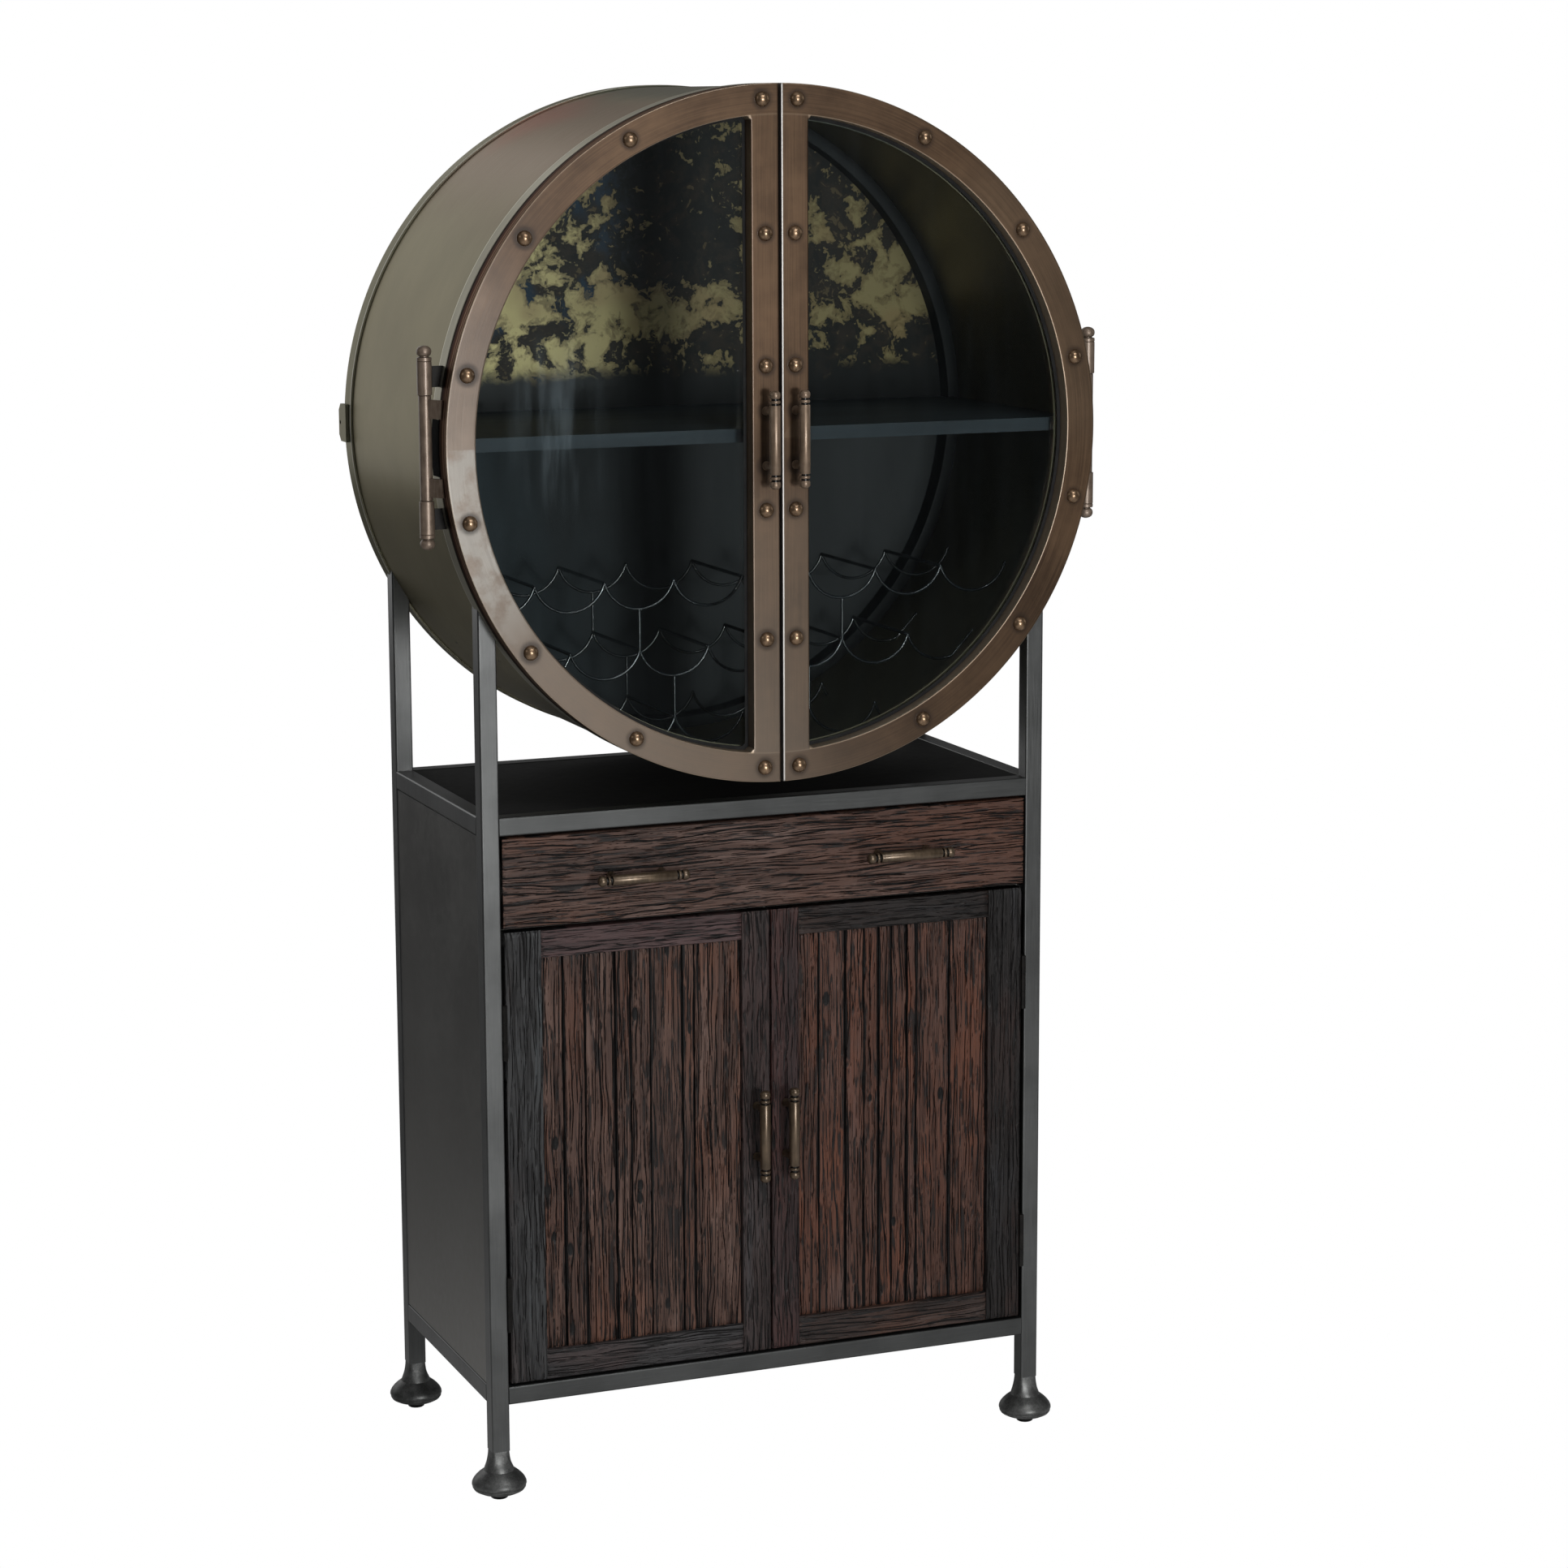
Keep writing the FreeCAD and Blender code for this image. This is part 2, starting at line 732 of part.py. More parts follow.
def rack_rods():
    """Rods from the front wires to the back wires, behind the cusps."""
    front = rack_front_y + rack_wire_radius
    length = rack_depth - 2 * rack_wire_radius
    rods = []
    for row, places in enumerate(rack_rod_places):
        for place in held_places(places, row):
            start = V(place * rack_pitch, front, cusp_height(row))
            rods.append(prism(wire_sides, rack_rod_radius, start, V(0, length, 0)))
    return rods


# Drum doors

def ring_frame():
    """The left half-ring with its meeting stile, folded from sheet: a channel that is open behind."""
    edge = meeting_gap / 2
    inner = band_radius - ring_width
    stile = edge + drum_stile_width
    body = half_disc(band_radius, edge, -1, ring_front, ring_back)
    opening = half_disc(inner, stile, -1, ring_front - cut_over, ring_back + cut_over)
    hollow = half_disc(band_radius - ring_sheet, edge + ring_sheet, -1, ring_front + ring_sheet,
                       ring_back + cut_over)
    wall = half_disc(inner + ring_sheet, stile - ring_sheet, -1, ring_front, glass_front)
    return body.cut(hollow.cut(wall)).cut(opening)


def glass():
    """The left pane, laid against the inner wall of the frame, inside the channel."""
    radius = band_radius - ring_width + ring_sheet + glass_overlap
    edge = meeting_gap / 2 + drum_stile_width - ring_sheet - glass_overlap
    return half_disc(radius, edge, -1, glass_front, glass_front + glass_thickness)


# Barrel hinges

fixed_low = barrel_length / 2 + barrel_play
fixed_high = fixed_low + knuckle_length


def barrel_prism(radius, low, high):
    """A flat-sided length of the left hinge barrel, measured from the drum's middle height."""
    return prism(hinge_sides, radius, V(-barrel_x, barrel_y, zc + low), V(0, 0, high - low))


def barrel_bore(low, high):
    return barrel_prism(corner_radius(hinge_pin_radius, hinge_sides) + pin_clearance, low, high)


def fixed_knuckles():
    """The upper and lower knuckle on the drum, for both doors."""
    upper = barrel_prism(knuckle_radius, fixed_low, fixed_high)
    upper = upper.cut(barrel_bore(0, fixed_high + cut_over))
    return both_sides([upper, mirrored_up(upper)])


def hinge_leaves():
    """Flat bars that carry the fixed knuckles on the drum's front band."""
    low = zc + fixed_high - leaf_end_inset - leaf_height
    bar = box(-barrel_x, -barrel_x + 3 * barrel_offset, barrel_y - leaf_thickness / 2,
              barrel_y + leaf_thickness / 2, low, low + leaf_height)
    bar = bar.cut(drum_disc(band_radius, drum_front, drum_back))
    upper = bar.cut(barrel_prism(knuckle_radius, 0, 2 * fixed_high))
    return both_sides([upper, mirrored_up(upper)])


def door_barrel():
    """The long middle knuckle, with the two tabs that weld it to the rim of the left door."""
    outline = barrel_prism(barrel_radius, -barrel_length, barrel_length)
    high = zc + barrel_length / 2 - tab_end_inset
    toward = V(barrel_offset + tab_bite / 2, ring_back - barrel_y - tab_bite, 0)
    along = V(toward).normalize()
    across = V(-along.y, along.x, 0) * (tab_thickness / 2)
    start = V(-barrel_x, barrel_y, high - tab_height)
    end = start + toward
    points = [start - across, end - across, end + across, start + across]
    tab = ring_face(points).extrude(V(0, 0, tab_height))
    tab = tab.cut(drum_disc(band_radius, ring_front - cut_over, drum_front)).cut(outline)
    tab = max(tab.Solids, key=lambda solid: solid.Volume)
    barrel = barrel_prism(barrel_radius, -barrel_length / 2, barrel_length / 2)
    barrel = barrel.cut(barrel_bore(-barrel_length, barrel_length))
    return barrel.fuse([tab, mirrored_up(tab)]).removeSplitter()


def hinge_pin():
    """The left pin, with a collar and a flattened ball at each end."""
    collar = fixed_high + collar_gap
    neck = collar + collar_height
    under = collar_gap / 2
    upper = [(collar, hinge_pin_radius), (collar + under, knuckle_radius), (neck, knuckle_radius),
             (neck + under, finial_neck_radius)]
    upper += [(neck + finial_height * rise, finial_radius * width)
              for rise, width in zip(finial_height_shares, finial_width_shares)]
    lower = [(-height, radius) for height, radius in reversed(upper)]
    return flat_sided(lower + upper, hinge_sides, V(-barrel_x, barrel_y, zc), V(0, 0, 1))


# Bar pulls

def pull(middle, along):
    """A bar with necked round ends, on two posts that stand on the face at middle."""
    half = pull_length / 2
    right = [(half - pull_end_length * inset, pull_radius * width)
             for inset, width in zip(pull_end_inset_shares, pull_end_width_shares)]
    left = [(-place, radius) for place, radius in reversed(right)]
    bar = flat_sided(left + right, pull_sides, V(0, 0, 0), V(0, 0, 1))
    bar.rotate(V(0, 0, 0), V(0, 0, 1), 90)
    pieces = [bar]
    for sign in (-1, 1):
        start = V(0, pull_radius, sign * pull_post_spacing / 2)
        pieces.append(prism(pull_post_sides, pull_post_radius, start, V(0, pull_reach - pull_radius, 0)))
    for piece in pieces:
        if abs(along.x) > abs(along.z):
            piece.rotate(V(0, 0, 0), V(0, 1, 0), 90)
        piece.translate(middle - V(0, pull_reach, 0))
    return pieces


def drum_door_pull():
    return pull(V(-meeting_gap / 2 - drum_stile_width / 2, ring_front, zc), V(0, 0, 1))


def lower_door_pull():
    middle = V(-door_middle_gap / 2 - meeting_stile_width / 2, -half_depth, door_top - door_pull_drop)
    return pull(middle, V(0, 0, 1))


def drawer_pull():
    return pull(V(-drawer_pull_spacing / 2, drawer_face, (drawer_low + drawer_top) / 2), V(1, 0, 0))


# Wall tabs

def wall_tab():
    """The left bevelled plate on the back band, which stands out behind the drum and has a hole."""
    outer = band_radius + wall_tab_thickness
    y0 = drum_back - wall_tab_grip
    y1 = drum_back + wall_tab_reach
    z0 = zc - wall_tab_height / 2
    z1 = zc + wall_tab_height / 2
    outline = [V(-outer, y0, z0), V(-outer, y1 - wall_tab_bevel, z0), V(-outer, y1, z0 + wall_tab_bevel),
               V(-outer, y1, z1 - wall_tab_bevel), V(-outer, y1 - wall_tab_bevel, z1), V(-outer, y0, z1)]
    run = V(wall_tab_thickness + band_thickness, 0, 0)
    plate = ring_face(outline).extrude(run)
    hole = Part.makeCylinder(wall_tab_hole_radius, 2 * cut_over + wall_tab_thickness,
                             V(-outer - cut_over, drum_back + wall_tab_reach / 2, zc), V(1, 0, 0))
    return plate.cut(drum_disc(band_radius, drum_front, y1 + cut_over)).cut(hole)


def cabinet_nodes():
    """Everything that stands still, as lists of solids by name."""
    envelope = drum_envelope()
    rows = rack_rows()
    return {
        "post_front_left": [post(-1, -1, envelope)],
        "post_front_right": [post(1, -1, envelope)],
        "post_back_left": [post(-1, 1, envelope)],
        "post_back_right": [post(1, 1, envelope)],
        "front_rails": cross_rails(-1),
        "back_rails": cross_rails(1),
        "left_rails": side_rails(-1),
        "right_rails": side_rails(1),
        "side_panel_left": [side_panel()],
        "side_panel_right": [mirrored(side_panel())],
        "back_panel": [back_panel()],
        "top_sheet": [level_sheet(base_height - top_sheet_drop, top_sheet_thickness)],
        "floor_sheet": [level_sheet(floor_top, floor_sheet_thickness)],
        "feet": at_each_post(foot()),
        "glides": at_each_post(glide()),
        "stop_rail": [stop_rail()],
        "door_catches": both_sides([door_catch()]),
        "cabinet_runners": both_sides([cabinet_runner()]),
        "frame_butt_leaves": both_sides([frame_butt_leaf(middle) for middle in butt_middles]),
        "drum_shell": [drum_shell()],
        "drum_back_pan": [drum_back_pan()],
        "drum_shelf": [drum_shelf()],
        "mirror": [mirror()],
        "rack_top_wires": rows[0],
        "rack_middle_wires": rows[1],
        "rack_low_wires": rows[2],
        "rack_rods": rack_rods(),
        "wall_tabs": both_sides([wall_tab()]),
        "fixed_knuckles": fixed_knuckles(),
        "hinge_leaves": hinge_leaves(),
        "hinge_pins": both_sides([hinge_pin()]),
    }


def drawer_nodes():
    return {
        "drawer_front": [drawer_front()],
        "drawer_box": drawer_box(),
        "drawer_bottom": [drawer_bottom()],
        "drawer_runners": both_sides([drawer_runner()]),
        "drawer_pulls": both_sides(drawer_pull()),
    }


def door_nodes(side, name, planks):
    """The drum door and the lower door of one side."""
    return {
        "drum_door_frame_" + name: on_side([ring_frame()], side),
        "drum_door_glass_" + name: on_side([glass()], side),
        "drum_door_barrel_" + name: on_side([door_barrel()], side),
        "drum_door_pull_" + name: on_side(drum_door_pull(), side),
        "door_stiles_" + name: on_side(door_stiles(), side),
        "door_rails_" + name: on_side(door_rails(), side),
        "door_planks_" + name: planks,
        "door_pull_" + name: on_side(lower_door_pull(), side),
        "door_butt_leaves_" + name: on_side([door_butt_leaf(middle) for middle in butt_middles], side),
    }


def main():
    os.makedirs("parts", exist_ok=True)
    left_planks = door_planks(left_plank_width_shares, left_plank_step_shares, plank_x0, plank_x1)
    right_planks = door_planks(right_plank_width_shares, right_plank_step_shares, -plank_x1, -plank_x0)
    nodes = cabinet_nodes()
    nodes.update(drawer_nodes())
    nodes.update(door_nodes(-1, "left", left_planks))
    nodes.update(door_nodes(1, "right", right_planks))
    for name, solids in nodes.items():
        shape = solids[0] if len(solids) == 1 else Part.makeCompound(solids)
        shape.translate(V(0, shift_y, 0))
        shape.exportStep(os.path.join("parts", name + ".step"))
    joints = {
        "drum door hinge": (barrel_x, barrel_y + shift_y, zc, drum_door_swing),
        "lower door hinge": (-butt_x, butt_y + shift_y, (door_low + door_top) / 2, lower_door_swing),
        "drawer slide": (0, drawer_face + shift_y, (drawer_low + drawer_top) / 2, drawer_travel),
    }
    for name, values in joints.items():
        print(name, "at x, y, z and range:", ", ".join(str(round(value, 3)) for value in values))
    count = sum(len(solids) for solids in nodes.values())
    print(len(nodes), "nodes,", count, "solids, moved back by", round(shift_y, 3))


main()
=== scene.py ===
import math

import bmesh
import bpy
import numpy as np
from mathutils import Matrix, Vector


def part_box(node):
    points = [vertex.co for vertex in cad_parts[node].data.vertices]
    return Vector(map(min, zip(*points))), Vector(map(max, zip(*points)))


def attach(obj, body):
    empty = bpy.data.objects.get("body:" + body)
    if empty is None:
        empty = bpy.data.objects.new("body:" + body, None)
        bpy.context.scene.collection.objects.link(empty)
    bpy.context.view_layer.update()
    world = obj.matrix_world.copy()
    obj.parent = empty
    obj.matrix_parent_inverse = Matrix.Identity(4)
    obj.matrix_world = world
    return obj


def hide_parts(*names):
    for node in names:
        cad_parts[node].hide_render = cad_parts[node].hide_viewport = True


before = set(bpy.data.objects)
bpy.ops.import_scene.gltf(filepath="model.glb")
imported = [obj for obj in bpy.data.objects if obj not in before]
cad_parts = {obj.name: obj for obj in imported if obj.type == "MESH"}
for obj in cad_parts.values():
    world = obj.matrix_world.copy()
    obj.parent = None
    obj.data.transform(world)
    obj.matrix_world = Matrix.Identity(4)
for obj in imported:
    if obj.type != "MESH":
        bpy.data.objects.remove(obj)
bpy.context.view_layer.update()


# Sizes and places in metres, read from the CAD boxes where they follow from them

def middle(node):
    low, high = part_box(node)
    return [(a + b) / 2 for a, b in zip(low, high)]


SIDES = (("left", -1), ("right", 1))
RIGHT, BACK, UP = (1, 0, 0), (0, 1, 0), (0, 0, 1)

TUBE = 0.025
BASE_Y = (middle("post_front_left")[1] + middle("post_back_left")[1]) / 2
POST_INNER_X = 0.384

SHELL_LOW, SHELL_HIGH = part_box("drum_shell")
ZC = (SHELL_LOW[2] + SHELL_HIGH[2]) / 2
BAND_R = (SHELL_HIGH[2] - SHELL_LOW[2]) / 2
DRUM_R = BAND_R - 0.003
DRUM_IN = DRUM_R - 0.0025
DRUM_FRONT, DRUM_BACK = SHELL_LOW[1], SHELL_HIGH[1]
FRONT_BAND, BACK_BAND = DRUM_FRONT + 0.032, DRUM_BACK - 0.030
FLANGE_WIDTH, FLANGE_SHEET = 0.045, 0.003
PAN_RIM, PAN_SHEET = 0.0175, 0.002

FRAME_LOW, FRAME_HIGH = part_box("drum_door_frame_left")
RING_FRONT, RING_BACK = FRAME_LOW[1], FRAME_HIGH[1]
RING_WIDTH, STILE_WIDTH, MEETING, RING_SHEET = 0.040, 0.038, 0.002, 0.002
STILE_X = MEETING + STILE_WIDTH / 2
GLASS_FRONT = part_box("drum_door_glass_left")[0][1]
RIVET_CIRCLE = 0.440
RIVET_DEGREES = (12.4, 37.2, 62.0, 86.8)
RIVET_RISES = (-0.267, -0.095, 0.095, 0.267)

PULL_HALF, PULL_STAND, PULL_FOOT, PULL_GROOVE = 0.0645, 0.032, 0.036, 0.0048
DRAWER_PULL_X = 0.194
HINGE_X, HINGE_Y = 0.4725, DRUM_FRONT + 0.016

RACK_PITCH, RACK_SAG, RACK_DROP, RACK_RISE = 0.099, 0.037, 0.0935, 0.0675
WIRE_R, WIRE_INSET, ROD_R = 0.00195, 0.002, 0.0024


# Number work on grids

def smooth_step(x):
    x = np.clip(x, 0.0, 1.0)
    return x * x * (3.0 - 2.0 * x)


def value_noise(u, v, seed):
    """Smooth noise from 0 to 1: random values on whole u and v, blended by the smooth step."""
    table = np.random.RandomState(seed).rand(64, 64)
    iu, iv = np.floor(u).astype(int), np.floor(v).astype(int)
    fu, fv = smooth_step(u - iu), smooth_step(v - iv)
    a, b = table[iu % 64, iv % 64], table[(iu + 1) % 64, iv % 64]
    c, d = table[iu % 64, (iv + 1) % 64], table[(iu + 1) % 64, (iv + 1) % 64]
    return (a * (1 - fu) + b * fu) * (1 - fv) + (c * (1 - fu) + d * fu) * fv


def layered_noise(u, v, seed, layers=3):
    """Value noise summed in layers, each twice as fine and half as strong, scaled to 0 to 1."""
    total = sum(value_noise(u * 2 ** k, v * 2 ** k, seed + k) / 2 ** k for k in range(layers))
    return total / sum(1 / 2 ** k for k in range(layers))


def full_turn(count):
    return np.arange(count) * 2 * math.pi / count


CORNER = ((0.0, 2.0), (0.0, 1.0), (0.3, 0.3), (1.0, 0.0), (2.0, 0.0))


def eased(x, y, dx, dy, start=1, end=4):
    """Points round an eased corner at (x, y), from dy beside it to dx beside it. A start of 0 or an
    end of 5 adds a point on that flat, which keeps the flat's shading even."""
    return [(x + dx * a, y + dy * b) for a, b in CORNER[start:end]]


def rounded_square(half, radius):
    """A square with rounded corners, and a point on the flat beyond each end of every corner."""
    steps, hold = 5, 0.0007
    centre = (half - radius) * math.sqrt(2)
    points = []
    for quarter in range(4):
        diagonal = math.pi / 2 * (quarter + 0.5)
        for step in range(-1, steps + 2):
            turn = math.pi / 2 * (quarter + min(max(step, 0), steps) / steps)
            past = hold * ((step > steps) - (step < 0))
            cos, sin = math.cos(turn), math.sin(turn)
            points.append((centre * math.cos(diagonal) + radius * cos - past * sin,
                           centre * math.sin(diagonal) + radius * sin + past * cos))
    return np.array(points)


class Shape:
    """Points and faces of one piece, gathered from closed skins."""

    def __init__(self):
        self.points = []
        self.faces = []
        self.values = []
        self.count = 0

    def skin(self, rings, closed=False, values=None):
        """A skin over rings of points: each ring joined to the next, and closed by a fan at each
        end or, when closed is set, by joining the last ring to the first."""
        rings = np.asarray(rings, dtype=float)
        n, m = rings.shape[:2]
        start = self.count
        self.points.append(rings.reshape(-1, 3))
        self.values.append(np.zeros((n * m, 3)) if values is None else values.reshape(-1, 3))
        self.count += n * m
        here = np.arange(m)
        there = (here + 1) % m
        for i in range(n if closed else n - 1):
            a, b = start + i * m, start + (i + 1) % n * m
            self.faces += np.stack([a + here, a + there, b + there, b + here], axis=1).tolist()
        for index in () if closed else (0, n - 1):
            self.points.append(rings[index].mean(axis=0)[None, :])
            self.values.append(np.zeros((1, 3)))
            first = start + index * m
            self.faces += [[first + k, first + (k + 1) % m, self.count] for k in range(m)]
            self.count += 1
        return self

    def turned(self, profile, start, along, segments=48, hollow=0.0):
        """Profile pairs (height along the axis, radius) turned about the axis through start.
        Rings whose radius is the hollow's are marked as grooves for painted shade."""
        along = Vector(along).normalized()
        u = along.orthogonal().normalized()
        v = along.cross(u)
        turns = full_turn(segments)
        circle = np.outer(np.cos(turns), u) + np.outer(np.sin(turns), v)
        rings = [np.array(start) + np.array(along) * h + circle * r for h, r in profile]
        marks = np.zeros((len(profile), segments, 3))
        marks[np.array([abs(r - hollow) < 1e-7 for _, r in profile]), :, 0] = 1.0
        return self.skin(rings, values=marks)

    def bar(self, outline, start, end, across, cut=None):
        """An outline of flat points carried from start to end. Its first axis points across."""
        start, end = Vector(start), Vector(end)
        u = Vector(across)
        v = (end - start).normalized().cross(u)
        flat = np.outer(outline[:, 0], u) + np.outer(outline[:, 1], v)
        first, last = np.array(start) + flat, np.array(end) + flat
        return self.skin([first, cut(last) if cut else last])

    def tube(self, path, radius, segments=12):
        """A round bar along a path that lies in an upright plane square to Y."""
        step = np.gradient(path, axis=0)
        step /= np.linalg.norm(step, axis=1)[:, None]
        side = np.stack([-step[:, 2], np.zeros(len(path)), step[:, 0]], axis=1)
        turns = full_turn(segments)
        around = (np.cos(turns)[None, :, None] * side[:, None, :]
                  + np.sin(turns)[None, :, None] * np.array([0.0, 1.0, 0.0]))
        return self.skin(path[:, None, :] + radius * around)

    def make(self, name, finish, body, replaced, slot, angle=35, clean=True):
        mesh = bpy.data.meshes.new(name)
        mesh.from_pydata(np.concatenate(self.points).tolist(), [], self.faces)
        values = np.concatenate(self.values)
        if values.any():
            layer = mesh.attributes.new("grain", "FLOAT_VECTOR", "POINT")
            layer.data.foreach_set("vector", values.astype(np.float32).ravel())
        work = bmesh.new()
        work.from_mesh(mesh)
        if clean:
            bmesh.ops.remove_doubles(work, verts=work.verts, dist=1e-6)
        bmesh.ops.recalc_face_normals(work, faces=work.faces)
        work.to_mesh(mesh)
        work.free()
        mesh.shade_smooth()
        mesh.set_sharp_from_angle(angle=math.radians(angle))
        piece = bpy.data.objects.new(name, mesh)
        bpy.context.scene.collection.objects.link(piece)
        mesh.materials.append(FINISHES[finish])
        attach(piece, body)
        if replaced:
            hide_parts(*replaced)


# Shader work

def operation(kind, reflected=False):
    """An operator that joins two values in a Math node, in swapped order when reflected."""
    def act(self, other):
        first, second = (other, self) if reflected else (self, other)
        return self.network.node("ShaderNodeMath", {"operation": kind}, {0: first, 1: second})
    return act


class Signal:
    """A shader socket that takes part in sums like a number."""

    __add__, __radd__ = operation("ADD"), operation("ADD", True)
    __sub__, __rsub__ = operation("SUBTRACT"), operation("SUBTRACT", True)
    __mul__, __rmul__ = operation("MULTIPLY"), operation("MULTIPLY", True)
    __truediv__, __rtruediv__ = operation("DIVIDE"), operation("DIVIDE", True)
    __pow__, __rpow__ = operation("POWER"), operation("POWER", True)

    def __init__(self, network, socket):
        self.network = network
        self.socket = socket

    def size(self):
        return self.network.node("ShaderNodeMath", {"operation": "ABSOLUTE"}, {0: self})

    def step(self, low, high):
        """A smooth step from 0 to 1 while the signal runs from low to high."""
        return self.network.node("ShaderNodeMapRange", {"interpolation_type": "SMOOTHSTEP"},
                                 {0: self, 1: low, 2: high})

    def near(self, value, far, close):
        """1 within the close distance of the value, falling to 0 at the far distance."""
        return (self - value).size().step(far, close)


def cover(first, second):
    """Where either of two masks is, without counting twice. The first may be None."""
    return second if first is None else first + second * (1.0 - first)


class Network:
    """A node tree whose added nodes all come from one method."""

    def __init__(self, tree):
        self.tree = tree

    def node(self, kind, settings, inputs, output=0):
        made = self.tree.nodes.new(kind)
        for key, value in settings.items():
            setattr(made, key, value)
        for key, value in inputs.items():
            self.join(value, made.inputs[key])
        return Signal(self, made.outputs[output])

    def join(self, value, socket):
        if isinstance(value, Signal):
            self.tree.links.new(value.socket, socket)
        elif socket.type == "RGBA":
            socket.default_value = (*value, 1.0)
        else:
            socket.default_value = value


class Finish(Network):
    """A material with a Principled surface fed by signals, and a colour laid on in coats."""

    def __init__(self, name, **constants):
        self.material = bpy.data.materials.new(name)
        self.material.use_nodes = True
        super().__init__(self.material.node_tree)
        self.surface = self.tree.nodes["Principled BSDF"]
        self.matt = Signal(self, self.surface.outputs[0])
        for key, value in constants.items():
            self.feed(key.replace("_", " "), value)

    def feed(self, name, value):
        self.join(value, self.surface.inputs[name])

    def place(self):
        return self.node("ShaderNodeTexCoord", {}, {}, "Object")

    def axes(self, vector=None):
        vector = vector or self.place()
        return [self.node("ShaderNodeSeparateXYZ", {}, {0: vector}, k) for k in range(3)]

    def grain(self):
        """The three numbers that a mesh carries at each point, or 0 where it carries none."""
        mesh_values = {"attribute_name": "grain"}
        return self.axes(self.node("ShaderNodeAttribute", mesh_values, {}, "Vector"))

    def vector(self, x, y, z):
        return self.node("ShaderNodeCombineXYZ", {}, {0: x, 1: y, 2: z})

    def noise(self, scale, stretch=(1.0, 1.0, 1.0), vector=None, detail=4.0, roughness=0.55,
              shift=0.0, output=0):
        """Noise from 0 to 1 over a place stretched by shares along its axes."""
        spot = self.node("ShaderNodeVectorMath", {"operation": "MULTIPLY_ADD"},
                         {0: vector or self.place(), 1: stretch, 2: (shift, shift, shift)})
        facts = {"Vector": spot, "Scale": scale, "Detail": detail, "Roughness": roughness}
        return self.node("ShaderNodeTexNoise", {}, facts, output)

    def mix(self, factor, first, second):
        inputs = {0: factor, 6: first, 7: second}
        return self.node("ShaderNodeMix", {"data_type": "RGBA"}, inputs, 2)

    def mix_shaders(self, factor, first, second):
        return self.node("ShaderNodeMixShader", {}, {0: factor, 1: first, 2: second})

    def polar(self):
        """The distance from the drum's axis, the angle round it from +X, and the depth y."""
        x, y, z = self.axes()
        rise = z - ZC
        angle = self.node("ShaderNodeMath", {"operation": "ARCTAN2"}, {0: rise, 1: x})
        return (x * x + rise * rise) ** 0.5, angle, y

    def ground(self, factor, dark, light):
        self.colour = self.mix(factor, dark, light)

    def lay(self, factor, colour):
        """A further coat of colour over the ones before it."""
        self.colour = self.mix(factor, self.colour, colour)

    def show(self, shader):
        """Puts a shader in the surface's place."""
        self.join(shader, self.tree.nodes["Material Output"].inputs["Surface"])
        return self.material

    def done(self, roughness, relief=None, depth=0.0, strength=0.0):
        self.feed("Base Color", self.colour)
        self.feed("Roughness", roughness)
        if relief:
            bump = self.node("ShaderNodeBump", {},
                             {"Strength": strength, "Distance": depth, "Height": relief})
            self.feed("Normal", bump)
        return self.material


def frame_steel():
    """Gunmetal tube, brushed along each part's length under clear lacquer."""
    f = Finish("frame_steel", Metallic=0.85, Coat_Weight=0.25, Coat_Roughness=0.18)
    brush_up = f.noise(900.0, (1.0, 1.0, 0.02), detail=2.0)
    brush_side = f.noise(900.0, (0.02, 1.0, 1.0), detail=2.0)
    post = (f.axes()[0].size() - POST_INNER_X).step(-0.0005, 0.0005)
    brush = brush_side + (brush_up - brush_side) * post
    cloud = f.noise(9.0, detail=5.0)
    f.ground((cloud * 0.9 + brush * 0.3).step(0.25, 0.95),
             (0.050, 0.0515, 0.051), (0.104, 0.107, 0.106))
    # painted shade: the rails laid darker than the posts, for how their brushing catches the light
    f.lay((1.0 - post) * 0.4, (0.02, 0.0215, 0.0213))
    return f.done(brush * 0.25 + 0.28, brush, 0.0002, 0.35)


